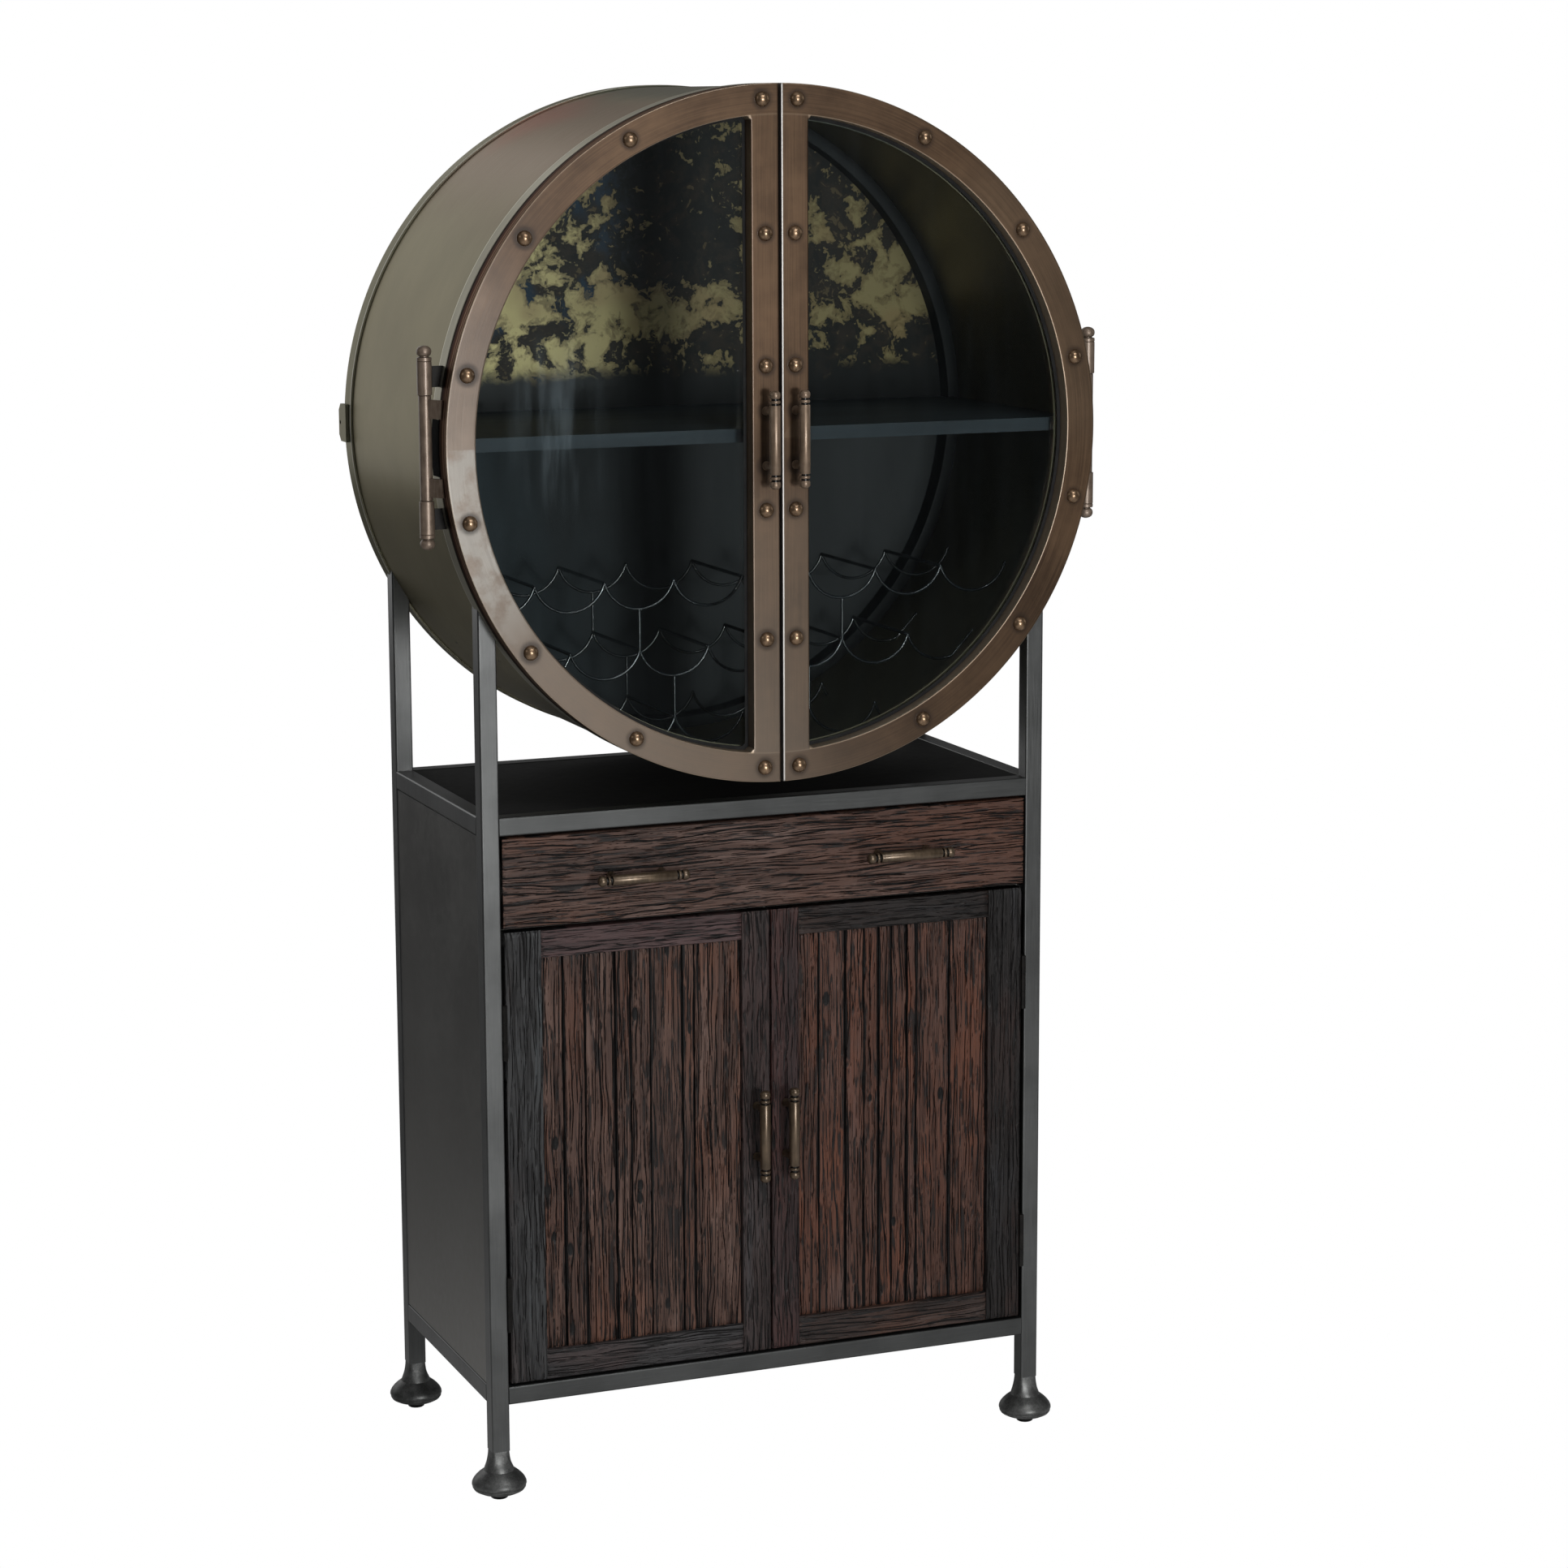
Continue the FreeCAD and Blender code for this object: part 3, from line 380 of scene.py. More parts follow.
def drum_steel():
    """Warm grey rolled steel: faint brushing round the drum, cloudy lacquer, a pink, a red and a
    green patch near the top, and bands with painted shade and highlight lines at their edges."""
    f = Finish("drum_steel", Metallic=0.85, Coat_Weight=0.1, Coat_Roughness=0.2,
               Specular_Tint=(0.9, 0.85, 0.72))
    radius, angle, y = f.polar()
    brush = f.noise(700.0, (0.02, 1.0, 0.2), f.vector(angle * 0.46, y, radius), detail=2.0)
    cloud = f.noise(5.0, detail=5.0)
    f.ground((cloud * 0.8 + brush * 0.35).step(0.3, 0.9),
             (0.140, 0.127, 0.085), (0.224, 0.203, 0.136))
    pink = (angle + cloud * 0.3).step(2.75, 2.35) * angle.step(1.75, 1.95)
    f.lay(pink, (0.172, 0.117, 0.092))
    green = (angle + cloud * 0.2).step(2.0, 1.85) * angle.step(0.9, 1.3)
    f.lay(green * 0.9, (0.062, 0.068, 0.060))
    red = ((angle - 1.99).size() + (y - 0.17).size() * 1.4).step(0.30, 0.02) * cloud.step(0.2, 0.42)
    f.lay(red * 0.75, (0.27, 0.075, 0.065))
    outside = radius.step(DRUM_R - 0.0015, DRUM_R - 0.0008)
    past_front, past_back = y - FRONT_BAND, BACK_BAND - y
    f.lay(past_front.step(0.0003, -0.0003) * outside,
          f.mix(cloud.step(0.3, 0.7), (0.21, 0.206, 0.175), (0.33, 0.325, 0.285)))
    # painted shade: a near-black line along the shell's front edge, by the gap to the door ring
    f.lay((y - DRUM_FRONT).step(0.0045, 0.0038) * outside, (0.008, 0.008, 0.007))
    f.lay(past_back.step(0.0003, -0.0003) * outside, (0.105, 0.105, 0.07))
    # painted shade lines in the recesses beside the bands, and painted highlight lines on their
    # edges
    for past in (past_front, past_back):
        f.lay(past.near(0.0016, 0.0016, 0.001) * outside, (0.022, 0.022, 0.019))
        f.lay(past.near(-0.0014, 0.0014, 0.0007) * outside, (0.62, 0.61, 0.56))
    return f.done(brush * 0.2 + 0.32, brush, 0.0002, 0.3)


def door_copper():
    """Aged copper plate: brushed along the stile and round the ring, with painted shade round the
    rivets and pull feet, painted highlights on the left, at its edges and at the meeting edge, and
    painted highlight and shade lines along the ring's side wall."""
    f = Finish("door_copper", Metallic=0.88, Coat_Roughness=0.28, Specular_Tint=(0.5, 0.37, 0.29))
    x, y, z = f.axes()
    radius, angle, _ = f.polar()
    brush_stile = f.noise(650.0, (1.0, 1.0, 0.012), detail=2.0)
    brush_ring = f.noise(650.0, (1.0, 0.012, 1.0), f.vector(radius, angle * 0.44, y), detail=2.0)
    stile = x.size().step(0.041, 0.0395) * radius.step(0.425, 0.418)
    brush = brush_ring + (brush_stile - brush_ring) * stile
    cloud = f.noise(6.0, detail=6.0, roughness=0.6)
    blotch = f.noise(38.0, detail=4.0, roughness=0.6, shift=3.0)
    f.ground((cloud * 0.75 + brush * 0.35 + blotch * 0.15).step(0.4, 0.85),
             (0.036, 0.021, 0.012), (0.104, 0.063, 0.036))
    # painted highlight: paler towards the lower left of the door
    f.lay((x * -1.0 - (z - ZC)).step(0.1, 0.65) * 0.6, (0.125, 0.105, 0.085))
    # painted highlight: a paler cloudy patch on the left of the ring
    f.lay(x.step(-0.30, -0.40) * z.near(ZC, 0.34, 0.12) * 0.25,
          f.mix(cloud.step(0.4, 0.62), (0.125, 0.108, 0.095), (0.175, 0.155, 0.138)))
    # painted highlight: patchy silver on the ring's lower left
    silver = angle.step(-2.45, -2.75) * blotch.step(0.3, 0.6) * radius.step(0.39, 0.40)
    f.lay(silver * 0.75, (0.175, 0.168, 0.152))
    high_right = angle.step(-0.15, 0.1) * angle.step(1.0, 0.75)
    f.lay(high_right * 0.3, (0.150, 0.105, 0.068))
    low_right = angle.step(-0.30, -0.65) * angle.step(-1.65, -1.35)
    f.lay(low_right * 0.28, (0.026, 0.016, 0.009))
    f.lay(stile * z.step(ZC - 0.02, ZC - 0.14) * 0.22, (0.145, 0.125, 0.102))
    # painted shade: dark halos round the rivets and the pull feet
    spots = [(*spot, 0.0175) for _, side in SIDES for spot in rivet_spots(side)]
    spots += [(side * STILE_X, ZC + rise, 0.016)
              for _, side in SIDES for rise in (-PULL_FOOT, PULL_FOOT)]
    shade_halo = None
    for sx, sz, reach in spots:
        dx, dz = x - sx, z - sz
        away = (dx * dx + dz * dz) ** 0.5 + (cloud - 0.5) * 0.01
        shade_halo = cover(shade_halo, away.step(reach, reach * 0.55))
    f.lay(shade_halo * 0.55, (0.018, 0.012, 0.009))
    # painted highlights along the ring's outer and inner edges
    ring_inside = BAND_R - RING_WIDTH
    edge_out = radius.step(BAND_R - 0.0016, BAND_R - 0.0006)
    edge_in = radius.step(ring_inside + 0.0016, ring_inside + 0.0006) * (1.0 - stile)
    f.lay((edge_out + edge_in) * 0.5, (0.36, 0.28, 0.2))
    depth = y - RING_FRONT
    wall = radius.step(BAND_R - 0.0008, BAND_R - 0.0003) * depth.step(0.0015, 0.0025)
    f.lay(wall, (0.062, 0.038, 0.028))
    # painted highlight lines and a painted shade line along the ring's side wall
    for place, colour in ((0.0065, (0.36, 0.28, 0.22)), (0.0135, (0.36, 0.28, 0.22)),
                          (0.0098, (0.03, 0.018, 0.013))):
        f.lay(depth.near(place, 0.0014, 0.0006) * wall, colour)
    # painted shade: near black at the back of the side wall, by the gap to the drum's band
    f.lay((RING_BACK - y).step(0.0075, 0.0068) * wall, (0.006, 0.005, 0.005))
    # painted highlight along the meeting edge of the door
    meeting_edge_highlight = x.step(0.0012, 0.0018) * x.step(0.0046, 0.0040)
    f.lay(meeting_edge_highlight * 0.8, (0.34, 0.335, 0.32))
    f.feed("Coat Weight", 0.4 - wall * 0.36)
    return f.done(brush * 0.2 + 0.36 + shade_halo * 0.15, brush, 0.0002, 0.3)


def old_brass(name, dark, light, metallic, roughness):
    """Antique brass with rubbed streaks and painted shade in its grooves."""
    f = Finish(name, Metallic=metallic, Coat_Weight=0.2, Coat_Roughness=0.2)
    streak = f.noise(260.0, (1.0, 1.0, 0.12), detail=3.0)
    cloud = f.noise(70.0, detail=4.0)
    f.ground((streak * 0.6 + cloud * 0.6).step(0.3, 0.95), dark, light)
    # painted shade in the grooves that the turned profiles mark
    f.lay(f.grain()[0].step(0.2, 0.8), (0.006, 0.005, 0.004))
    return f.done(cloud * 0.2 + roughness, cloud, 0.0001, 0.15)


def plain_metal(name, dark, light, roughness, metallic=0.8, scale=60.0, stretch=(1.0, 1.0, 1.0),
                gloss=0.5, painted_floor_light=None):
    """Cloudy metal, paint or rubber, and a painted reflection of the floor, paler towards it, where
    one is given.
    """
    f = Finish(name, Metallic=metallic, Specular_IOR_Level=gloss)
    cloud = f.noise(scale, stretch, detail=5.0)
    fine = f.noise(scale * 9.0, detail=3.0, shift=1.7)
    f.ground((cloud * 0.7 + fine * 0.4).step(0.35, 0.8), dark, light)
    if painted_floor_light:
        # painted reflection of the floor: paler towards it
        f.lay((f.axes()[2] + cloud * 0.2).step(1.0, 0.2) * 0.75, painted_floor_light)
    return f.done(fine * 0.2 + roughness, fine, 0.0003, 0.3)


def dark_sheet():
    """Blackened sheet with a slow cloudy sheen, paler and bluer on the left."""
    f = Finish("dark_sheet", Metallic=0.15, Specular_IOR_Level=0.25)
    cloud = f.noise(7.0, (1.0, 1.0, 0.35), detail=3.0)
    left = (f.axes()[0] + cloud * 0.2).step(0.12, -0.22)
    pale = f.mix(left, (0.0035, 0.0047, 0.0054), (0.026, 0.038, 0.045))
    f.ground(cloud.step(0.3, 0.7), (0.003, 0.0042, 0.005), pale)
    return f.done(cloud * 0.2 + 0.45)


def wood(name, axis, low, high, warm, sheen, warmth=0.5, right_side=None):
    """Reclaimed boards: tone, cracks and relief come with the mesh, fibres and veins from here."""
    deep = (0.0035, 0.003, 0.003)

    def run(share):
        return (share, 1.0, 1.0) if axis == "x" else (1.0, 1.0, share)

    f = Finish(name, Specular_IOR_Level=0.24)
    tone, crack, board_mark = f.grain()
    spot = f.node("ShaderNodeVectorMath", {"operation": "ADD"},
                  {0: f.place(), 1: f.vector(board_mark, board_mark, board_mark)})
    fibre = f.noise(620.0, run(0.035), spot, detail=4.0, roughness=0.7)
    patch = f.noise(11.0, run(0.4), spot, detail=4.0)
    f.ground((tone * 0.75 + fibre * 0.45).step(0.35, 0.85), low, high)
    f.lay((patch + (tone - 0.5) * 0.3).step(0.48, 0.68) * warmth, warm)
    if right_side:
        f.lay(f.axes()[0].step(-0.25, 0.35) * 0.55, right_side)
    f.lay((fibre * 0.5 + patch * -0.6 + tone * 0.6).step(0.3, 0.52) * 0.55, sheen)
    f.lay((1.0 - fibre).step(0.5, 0.68) * 0.5, deep)
    broken = f.noise(48.0, run(0.3), spot, detail=3.0, shift=6.0)
    veins = None
    for scale, wide, shift in ((135.0, 0.046, 2.0), (230.0, 0.05, 4.0)):
        vein = f.noise(scale, run(0.04), spot, detail=1.0, roughness=0.5, shift=shift)
        gaps = (broken + (vein - 0.5) * 0.3).step(0.49, 0.56)
        veins = cover(veins, vein.near(0.5, wide, wide * 0.5) * gaps)
        broken = 1.0 - broken * 0.98
    veins = veins * 0.9
    f.lay(veins, deep)
    f.lay(crack.step(0.05, 0.5), deep)
    relief = fibre * 0.8 - veins * 0.9 - crack * 0.6
    return f.done(fibre * 0.3 + 0.30 + crack * 0.2, relief, 0.0010, 0.9)


def plain_wood():
    """Pale drawer wood with a straight grain along Y."""
    f = Finish("plain_wood")
    grain = f.noise(120.0, (1.0, 0.06, 1.0), detail=4.0)
    f.ground(grain.step(0.3, 0.7), (0.30, 0.20, 0.11), (0.50, 0.37, 0.23))
    return f.done(0.6, grain, 0.0004, 0.4)


def aged_mirror():
    """Antiqued silvering: an olive-gold ground, eaten by ragged dark blooms with blue and brown in
    them. A slow field decides where: it is low in a level band, high in the top's middle."""
    f = Finish("aged_mirror", Metallic=0.1, Coat_Weight=0.08, Coat_Roughness=0.1,
               Specular_IOR_Level=0.2)
    x, _, z = f.axes()
    rise = z - ZC
    warp = f.noise(19.0, detail=4.0, roughness=0.55, output=1)
    spot = f.node("ShaderNodeVectorMath", {"operation": "MULTIPLY_ADD"},
                  {0: warp, 1: (0.07, 0.07, 0.07), 2: f.place()})
    large = f.noise(7.0, (1.0, 1.0, 1.2), spot, detail=3.0, roughness=0.5)
    small = f.noise(31.0, vector=spot, detail=5.0, roughness=0.6, shift=5.0)
    fleck = f.noise(90.0, vector=spot, detail=3.0, roughness=0.55, shift=9.0) - 0.5
    slow = f.noise(9.0, detail=2.0, shift=3.0)
    band = (rise + (slow - 0.5) * 0.07).near(0.155, 0.045, 0.01)
    top = ((x * x + (rise - 0.27) ** 2.0 * 1.6) ** 0.5).step(0.19, 0.05)
    low_right = x.step(-0.14, -0.02) * rise.step(0.13, 0.09)
    field = large * 0.65 + small + fleck * 0.3 - band * 0.085 + top * 0.10 + low_right * 0.07
    high_right = x.near(0.12, 0.12, 0.02) * rise.step(0.2, 0.3)
    field = field - x.step(0.05, -0.2) * 0.05 - high_right * 0.07
    bloom = field.step(0.775, 0.815)
    dim = (x + (slow - 0.5) * 0.3).step(-0.42, 0.05)
    f.ground(dim, (0.66, 0.55, 0.25), (0.27, 0.215, 0.10))
    f.lay(slow.step(0.5, 0.62) * 0.5, (0.26, 0.17, 0.08))
    f.lay(field.step(0.655, 0.78) * 0.75, (0.13, 0.095, 0.042))
    blue = slow.step(0.48, 0.56) * small.step(0.45, 0.6) * x.step(0.0, -0.12)
    dark = f.mix(small.step(0.45, 0.62), (0.008, 0.008, 0.007), (0.022, 0.016, 0.011))
    f.lay(bloom, f.mix(blue * 0.85, dark, (0.008, 0.028, 0.052)))
    f.lay((small + fleck * 0.6).step(0.66, 0.69) * bloom * 0.45, (0.16, 0.115, 0.055))
    # painted shade: near black along the mirror's bottom, above the shelf
    f.lay((rise + (small - 0.5) * 0.05).step(0.070, 0.045), (0.005, 0.0055, 0.0055))
    return f.done(0.35 + bloom * 0.2 + fleck * 0.1)


def clear_glass():
    """Window glass that lets light through unbent, with faint upright smears and one dusty spot."""
    f = Finish("clear_glass", Base_Color=(0.55, 0.68, 0.75), Roughness=0.8)
    x, _, z = f.axes()
    smear = f.noise(30.0, (1.0, 1.0, 0.06), detail=4.0).step(0.5, 0.75)
    dusty = x.near(-0.30, 0.085, 0.0) * z.near(ZC + 0.03, 0.13, 0.02)
    streaks = f.noise(55.0, (1.0, 1.0, 0.12), detail=5.0, shift=7.0).step(0.38, 0.8)
    clear = f.node("ShaderNodeBsdfTransparent", {}, {"Color": (0.93, 0.96, 0.96)})
    shine = f.node("ShaderNodeBsdfGlossy", {}, {"Color": (0.9, 0.95, 1.0), "Roughness": 0.03})
    facing = f.node("ShaderNodeFresnel", {}, {"IOR": 1.45})
    pane = f.mix_shaders(facing * 0.7 + smear * 0.02, clear, shine)
    return f.show(f.mix_shaders(streaks * (dusty * 0.065 + 0.0015), pane, f.matt))


BRASSES = {  # dark, light, metallic, roughness
    "old_brass": ((0.058, 0.040, 0.025), (0.145, 0.103, 0.066), 0.7, 0.26),
    "pull_bronze": ((0.115, 0.079, 0.052), (0.25, 0.18, 0.125), 0.6, 0.30),
    "hinge_bronze": ((0.115, 0.083, 0.061), (0.25, 0.19, 0.145), 0.55, 0.34),
    "rivet_bronze": ((0.115, 0.070, 0.040), (0.30, 0.198, 0.118), 0.8, 0.18),
}

METALS = {  # dark, light, roughness, own settings
    # painted shade: near-black leaves for the shadow between the drum doors' barrels and rings
    "leaf_painted_shade": ((0.004, 0.0038, 0.0035), (0.013, 0.0115, 0.010), 0.45,
                    {"metallic": 0.3, "gloss": 0.2}),
    "weld_silver": ((0.10, 0.09, 0.08), (0.34, 0.31, 0.28), 0.25, {}),
    # painted reflection: the panels grow paler towards the floor
    "panel_steel": ((0.064, 0.063, 0.059), (0.145, 0.143, 0.135), 0.34,
                    {"scale": 8.0, "painted_floor_light": (0.25, 0.242, 0.228)}),
    "top_steel": ((0.004, 0.004, 0.004), (0.010, 0.010, 0.0095), 0.7,
                  {"metallic": 0.1, "scale": 9.0, "gloss": 0.22}),
    "foot_iron": ((0.05, 0.051, 0.050), (0.15, 0.153, 0.15), 0.34, {}),
    "black_rubber": ((0.004, 0.004, 0.004), (0.012, 0.012, 0.012), 0.6,
                     {"metallic": 0.0, "gloss": 0.2}),
    # painted shade: black for the sheets behind the drum hinges, which stand in for shadow
    "shade_black": ((0.003, 0.003, 0.003), (0.009, 0.009, 0.0085), 0.75,
                    {"metallic": 0.0, "gloss": 0.05}),
    "rack_wire": ((0.003, 0.004, 0.005), (0.012, 0.015, 0.018), 0.12,
                  {"metallic": 0.0, "gloss": 0.9}),
    "shelf_steel": ((0.016, 0.021, 0.025), (0.032, 0.041, 0.048), 0.5,
                    {"metallic": 0.0, "scale": 30.0, "stretch": (0.1, 1.0, 1.0), "gloss": 0.2}),
    "runner_steel": ((0.25, 0.25, 0.245), (0.5, 0.5, 0.49), 0.3, {"metallic": 0.9}),
    "black_plastic": ((0.008, 0.008, 0.008), (0.02, 0.02, 0.02), 0.45,
                      {"metallic": 0.0, "gloss": 0.2}),
}

WOODS = {  # grain axis, low, high, warm and sheen colours, own settings
    "wood_drawer": ("x", (0.022, 0.012, 0.009), (0.088, 0.049, 0.037), (0.078, 0.030, 0.016),
                    (0.135, 0.096, 0.083), {"right_side": (0.080, 0.033, 0.020)}),
    "wood_rail_left": ("x", (0.028, 0.015, 0.015), (0.07, 0.040, 0.039), (0.06, 0.022, 0.019),
                       (0.07, 0.052, 0.054), {}),
    "wood_rail_right": ("x", (0.003, 0.0022, 0.0018), (0.013, 0.0072, 0.0058),
                        (0.034, 0.014, 0.008), (0.014, 0.016, 0.018), {}),
    "wood_rail_low_left": ("x", (0.011, 0.010, 0.0105), (0.036, 0.034, 0.035),
                           (0.045, 0.022, 0.019), (0.045, 0.050, 0.054), {"warmth": 0.4}),
    "wood_rail_low_right": ("x", (0.010, 0.006, 0.005), (0.048, 0.028, 0.022),
                            (0.060, 0.025, 0.014), (0.045, 0.038, 0.036), {}),
    "wood_stile_left": ("z", (0.012, 0.008, 0.0075), (0.044, 0.029, 0.027),
                        (0.035, 0.016, 0.014), (0.030, 0.034, 0.038), {}),
    "wood_stile_right": ("z", (0.016, 0.008, 0.008), (0.042, 0.022, 0.021),
                         (0.05, 0.016, 0.012), (0.030, 0.027, 0.029), {}),
    "wood_charcoal": ("z", (0.012, 0.012, 0.0125), (0.044, 0.045, 0.046),
                      (0.035, 0.017, 0.014), (0.040, 0.050, 0.054), {}),
    "wood_black": ("z", (0.003, 0.0025, 0.0023), (0.012, 0.0088, 0.008),
                   (0.026, 0.011, 0.008), (0.018, 0.020, 0.023), {}),
    "wood_planks_left": ("z", (0.030, 0.015, 0.011), (0.098, 0.053, 0.039),
                         (0.090, 0.031, 0.015), (0.12, 0.082, 0.070), {}),
    "wood_planks_right": ("z", (0.028, 0.0115, 0.007), (0.088, 0.038, 0.025),
                          (0.095, 0.031, 0.015), (0.068, 0.048, 0.044), {"warmth": 0.7}),
}

# Finishes of the nodes that stay as they are in CAD
DRESSED = {
    "panel_steel": ("side_panel_left", "side_panel_right", "back_panel", "floor_sheet",
                    "stop_rail"),
    "top_steel": ("top_sheet",),
    "drum_steel": ("wall_tabs",),
    "black_plastic": ("door_catches",),
    "runner_steel": ("cabinet_runners", "drawer_runners"),
    "leaf_painted_shade": ("frame_butt_leaves", "door_butt_leaves_left", "door_butt_leaves_right",
                    "hinge_leaves"),
    "shelf_steel": ("drum_shelf",),
    "aged_mirror": ("mirror",),
    "clear_glass": ("drum_door_glass_left", "drum_door_glass_right"),
    "plain_wood": ("drawer_box", "drawer_bottom"),
}


def make_finishes():
    single = (frame_steel, drum_steel, door_copper, dark_sheet, plain_wood, aged_mirror,
              clear_glass)
    return {
        **{make.__name__: make() for make in single},
        **{name: old_brass(name, *values) for name, values in BRASSES.items()},
        **{name: plain_metal(name, *values, **own) for name, (*values, own) in METALS.items()},
        **{name: wood(name, *values, **own) for name, (*values, own) in WOODS.items()},
    }


def dress_cad():
    for finish, nodes in DRESSED.items():
        for node in nodes:
            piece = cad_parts[node]
            piece.data.materials.clear()
            piece.data.materials.append(FINISHES[finish])


# Drum

def turn_section(section, segments=256):
    """Rings of one closed (y, radius) section set at even turns about the drum's axis."""
    y, radius = np.array(section).T
    return [np.stack([radius * math.cos(turn), y, ZC + radius * math.sin(turn)], axis=1)
            for turn in full_turn(segments)]


def make_drum():
    """The shell's closed section turned about the drum's axis, and the pressed back likewise."""
    e = 0.0009

    def band(front, back):
        return eased(front, BAND_R, e, -e, 1, 5) + eased(back, BAND_R, -e, -e, 1, 5)[::-1]

    flange, flange_edge = DRUM_FRONT + FLANGE_SHEET, BAND_R - FLANGE_WIDTH
    section = (band(DRUM_FRONT, FRONT_BAND) + [(FRONT_BAND, DRUM_R), (BACK_BAND, DRUM_R)]
               + band(BACK_BAND, DRUM_BACK)
               + [(DRUM_BACK, DRUM_IN), (flange, DRUM_IN), (flange, flange_edge),
                  (DRUM_FRONT, flange_edge)])
    Shape().skin(turn_section(section), closed=True).make(
        "drum_shell_surface", "drum_steel", "cabinet", ("drum_shell",), "drum_steel")

    low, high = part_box("drum_back_pan")
    front, back = low[1], high[1]
    wall, floor, hub, b = DRUM_IN - PAN_RIM, back - PAN_SHEET, 0.01, 0.003
    outer = wall + PAN_SHEET
    inside = ([(front, DRUM_IN)] + eased(front, wall, b, b)
              + eased(floor, wall, -b, -b)[::-1] + [(floor, hub)])
    outside = ([(back, hub)] + eased(back, outer, -b, -b)
               + [(front + PAN_SHEET, outer), (front + PAN_SHEET, DRUM_IN)])
    pan = Shape().skin(turn_section(inside + outside), closed=True)
    pan.turned([(0, hub + 0.0001), (PAN_SHEET, hub + 0.0001)], (0, floor, ZC), BACK, 96)
    pan.make("drum_back_surface", "dark_sheet", "cabinet", ("drum_back_pan",), "dark_sheet")


# Drum doors

def d_loop(radius, edge, side, cut, arc=160, line=40):
    """A loop of (x, z) points: the arc of a circle beyond x = edge, then the straight edge back up.
    The two corners between them are cut off by the same length along both."""
    turn = math.asin(edge / radius) + cut / radius
    angles = np.linspace(turn, math.pi - turn, arc)
    reach = math.sqrt(radius ** 2 - edge ** 2) - cut
    x = np.concatenate([radius * np.sin(angles), np.full(line, edge)]) * side
    z = np.concatenate([radius * np.cos(angles), np.linspace(-reach, reach, line)])
    return x, z


def door_rings(section, side):
    """Rings along a door's half-round outline, one per (share across the frame, y, corner cut)."""
    rings = []
    for share, y, cut in section:
        x, z = d_loop(BAND_R - RING_WIDTH * share, MEETING + STILE_WIDTH * share, side, cut)
        rings.append(np.stack([x, np.full(len(x), y), ZC + z], axis=1))
    return rings


def rivet_spots(side):
    """(x, z) of a door's rivets: mirrored pairs on the ring, then the ones on the stile."""
    turns = [math.radians(degrees) * sign for degrees in RIVET_DEGREES for sign in (-1, 1)]
    return ([(side * RIVET_CIRCLE * math.cos(turn), ZC + RIVET_CIRCLE * math.sin(turn))
             for turn in turns] + [(side * STILE_X, ZC + rise) for rise in RIVET_RISES])


def make_drum_door(name, side):
    """A folded channel frame, domed rivets turned about their own axes, and the pane's gasket."""
    body = "drum_door_" + name
    ease = 0.0011
    wide, sheet = ease / RING_WIDTH, RING_SHEET / RING_WIDTH
    fold = RING_FRONT + RING_SHEET
    section = (eased(0.0, RING_FRONT, wide, ease, 0, 5) + [(0.5, RING_FRONT)]
               + eased(1.0, RING_FRONT, -wide, ease, 0, 5)[::-1]
               + [(1.0, GLASS_FRONT), (1 - sheet, GLASS_FRONT), (1 - sheet, fold), (sheet, fold),
                  (sheet, RING_BACK), (0.0, RING_BACK)])
    section = [(share, y, 0.0003 + 0.005 * share ** 8) for share, y in section]
    Shape().skin(door_rings(section, side), closed=True).make(
        body + "_channel", "door_copper", body, ("drum_door_frame_" + name,), "door_copper")

    rivets = Shape()
    height, radius = 0.0086, 0.0101
    dome = [(-0.0015, 0.0094), (0.0, radius)]
    dome += [(height * math.sin(a), radius * math.cos(a)) for a in np.linspace(0.12, 1.5, 10)]
    for x, z in rivet_spots(side):
        rivets.turned(dome, (x, RING_FRONT, z), (0, -1, 0), 32)
    rivets.make(body + "_rivets", "rivet_bronze", body, (), "door_copper", 50)

    near, far, shown = GLASS_FRONT - 0.0012, GLASS_FRONT - 0.0002, 1.0 + 0.0045 / RING_WIDTH
    section = [(1.0, far), (1.0, near), (shown, near), (shown, far)]
    Shape().skin(door_rings([(share, y, 0.005) for share, y in section], side), closed=True).make(
        body + "_gasket", "black_rubber", body, (), "glide_rubber")


# Pulls, as (height along the axis, radius)

PULL_END = ((0.0, 0.0024), (0.0007, 0.0046), (0.0020, 0.0062), (0.0040, 0.0072), (0.0064, 0.0074),
            (0.0086, 0.0071), (0.0100, 0.0064), (0.0104, PULL_GROOVE), (0.0126, PULL_GROOVE),
            (0.0130, 0.0066), (0.0138, 0.0072), (0.0156, 0.0072), (0.0164, 0.0066),
            (0.0168, PULL_GROOVE), (0.0188, PULL_GROOVE), (0.0192, 0.0069), (0.0200, 0.0074))
PULL_POST = ((0.002, 0.0042), (0.008, 0.0042), (0.026, 0.0044), (0.0285, 0.0048), (0.0300, 0.0056),
             (0.0312, 0.0060), (0.0319, 0.0059))


def both_ends(top):
    """A profile that runs from the mirror image of the top, below height 0, to the top."""
    return [(-h, r) for h, r in reversed(top)] + list(top)


def make_pull(name, node, body, finish, middles, along=UP):
    """Turned bars with a ball, a bead and two grooves at each end, on two flared posts each. The
    middles lie on the face that carries them."""
    shape = Shape()
    profile = both_ends([(PULL_HALF - h, r) for h, r in reversed(PULL_END)])
    for x, y, z in middles:
        centre = (x, y - PULL_STAND, z)
        shape.turned(profile, centre, along, 40, PULL_GROOVE)
        for sign in (-1, 1):
            foot = Vector(centre) + Vector(along) * (PULL_FOOT * sign)
            shape.turned(PULL_POST, foot, BACK, 28)
    shape.make(name, finish, body, (node,), "old_brass", 40)


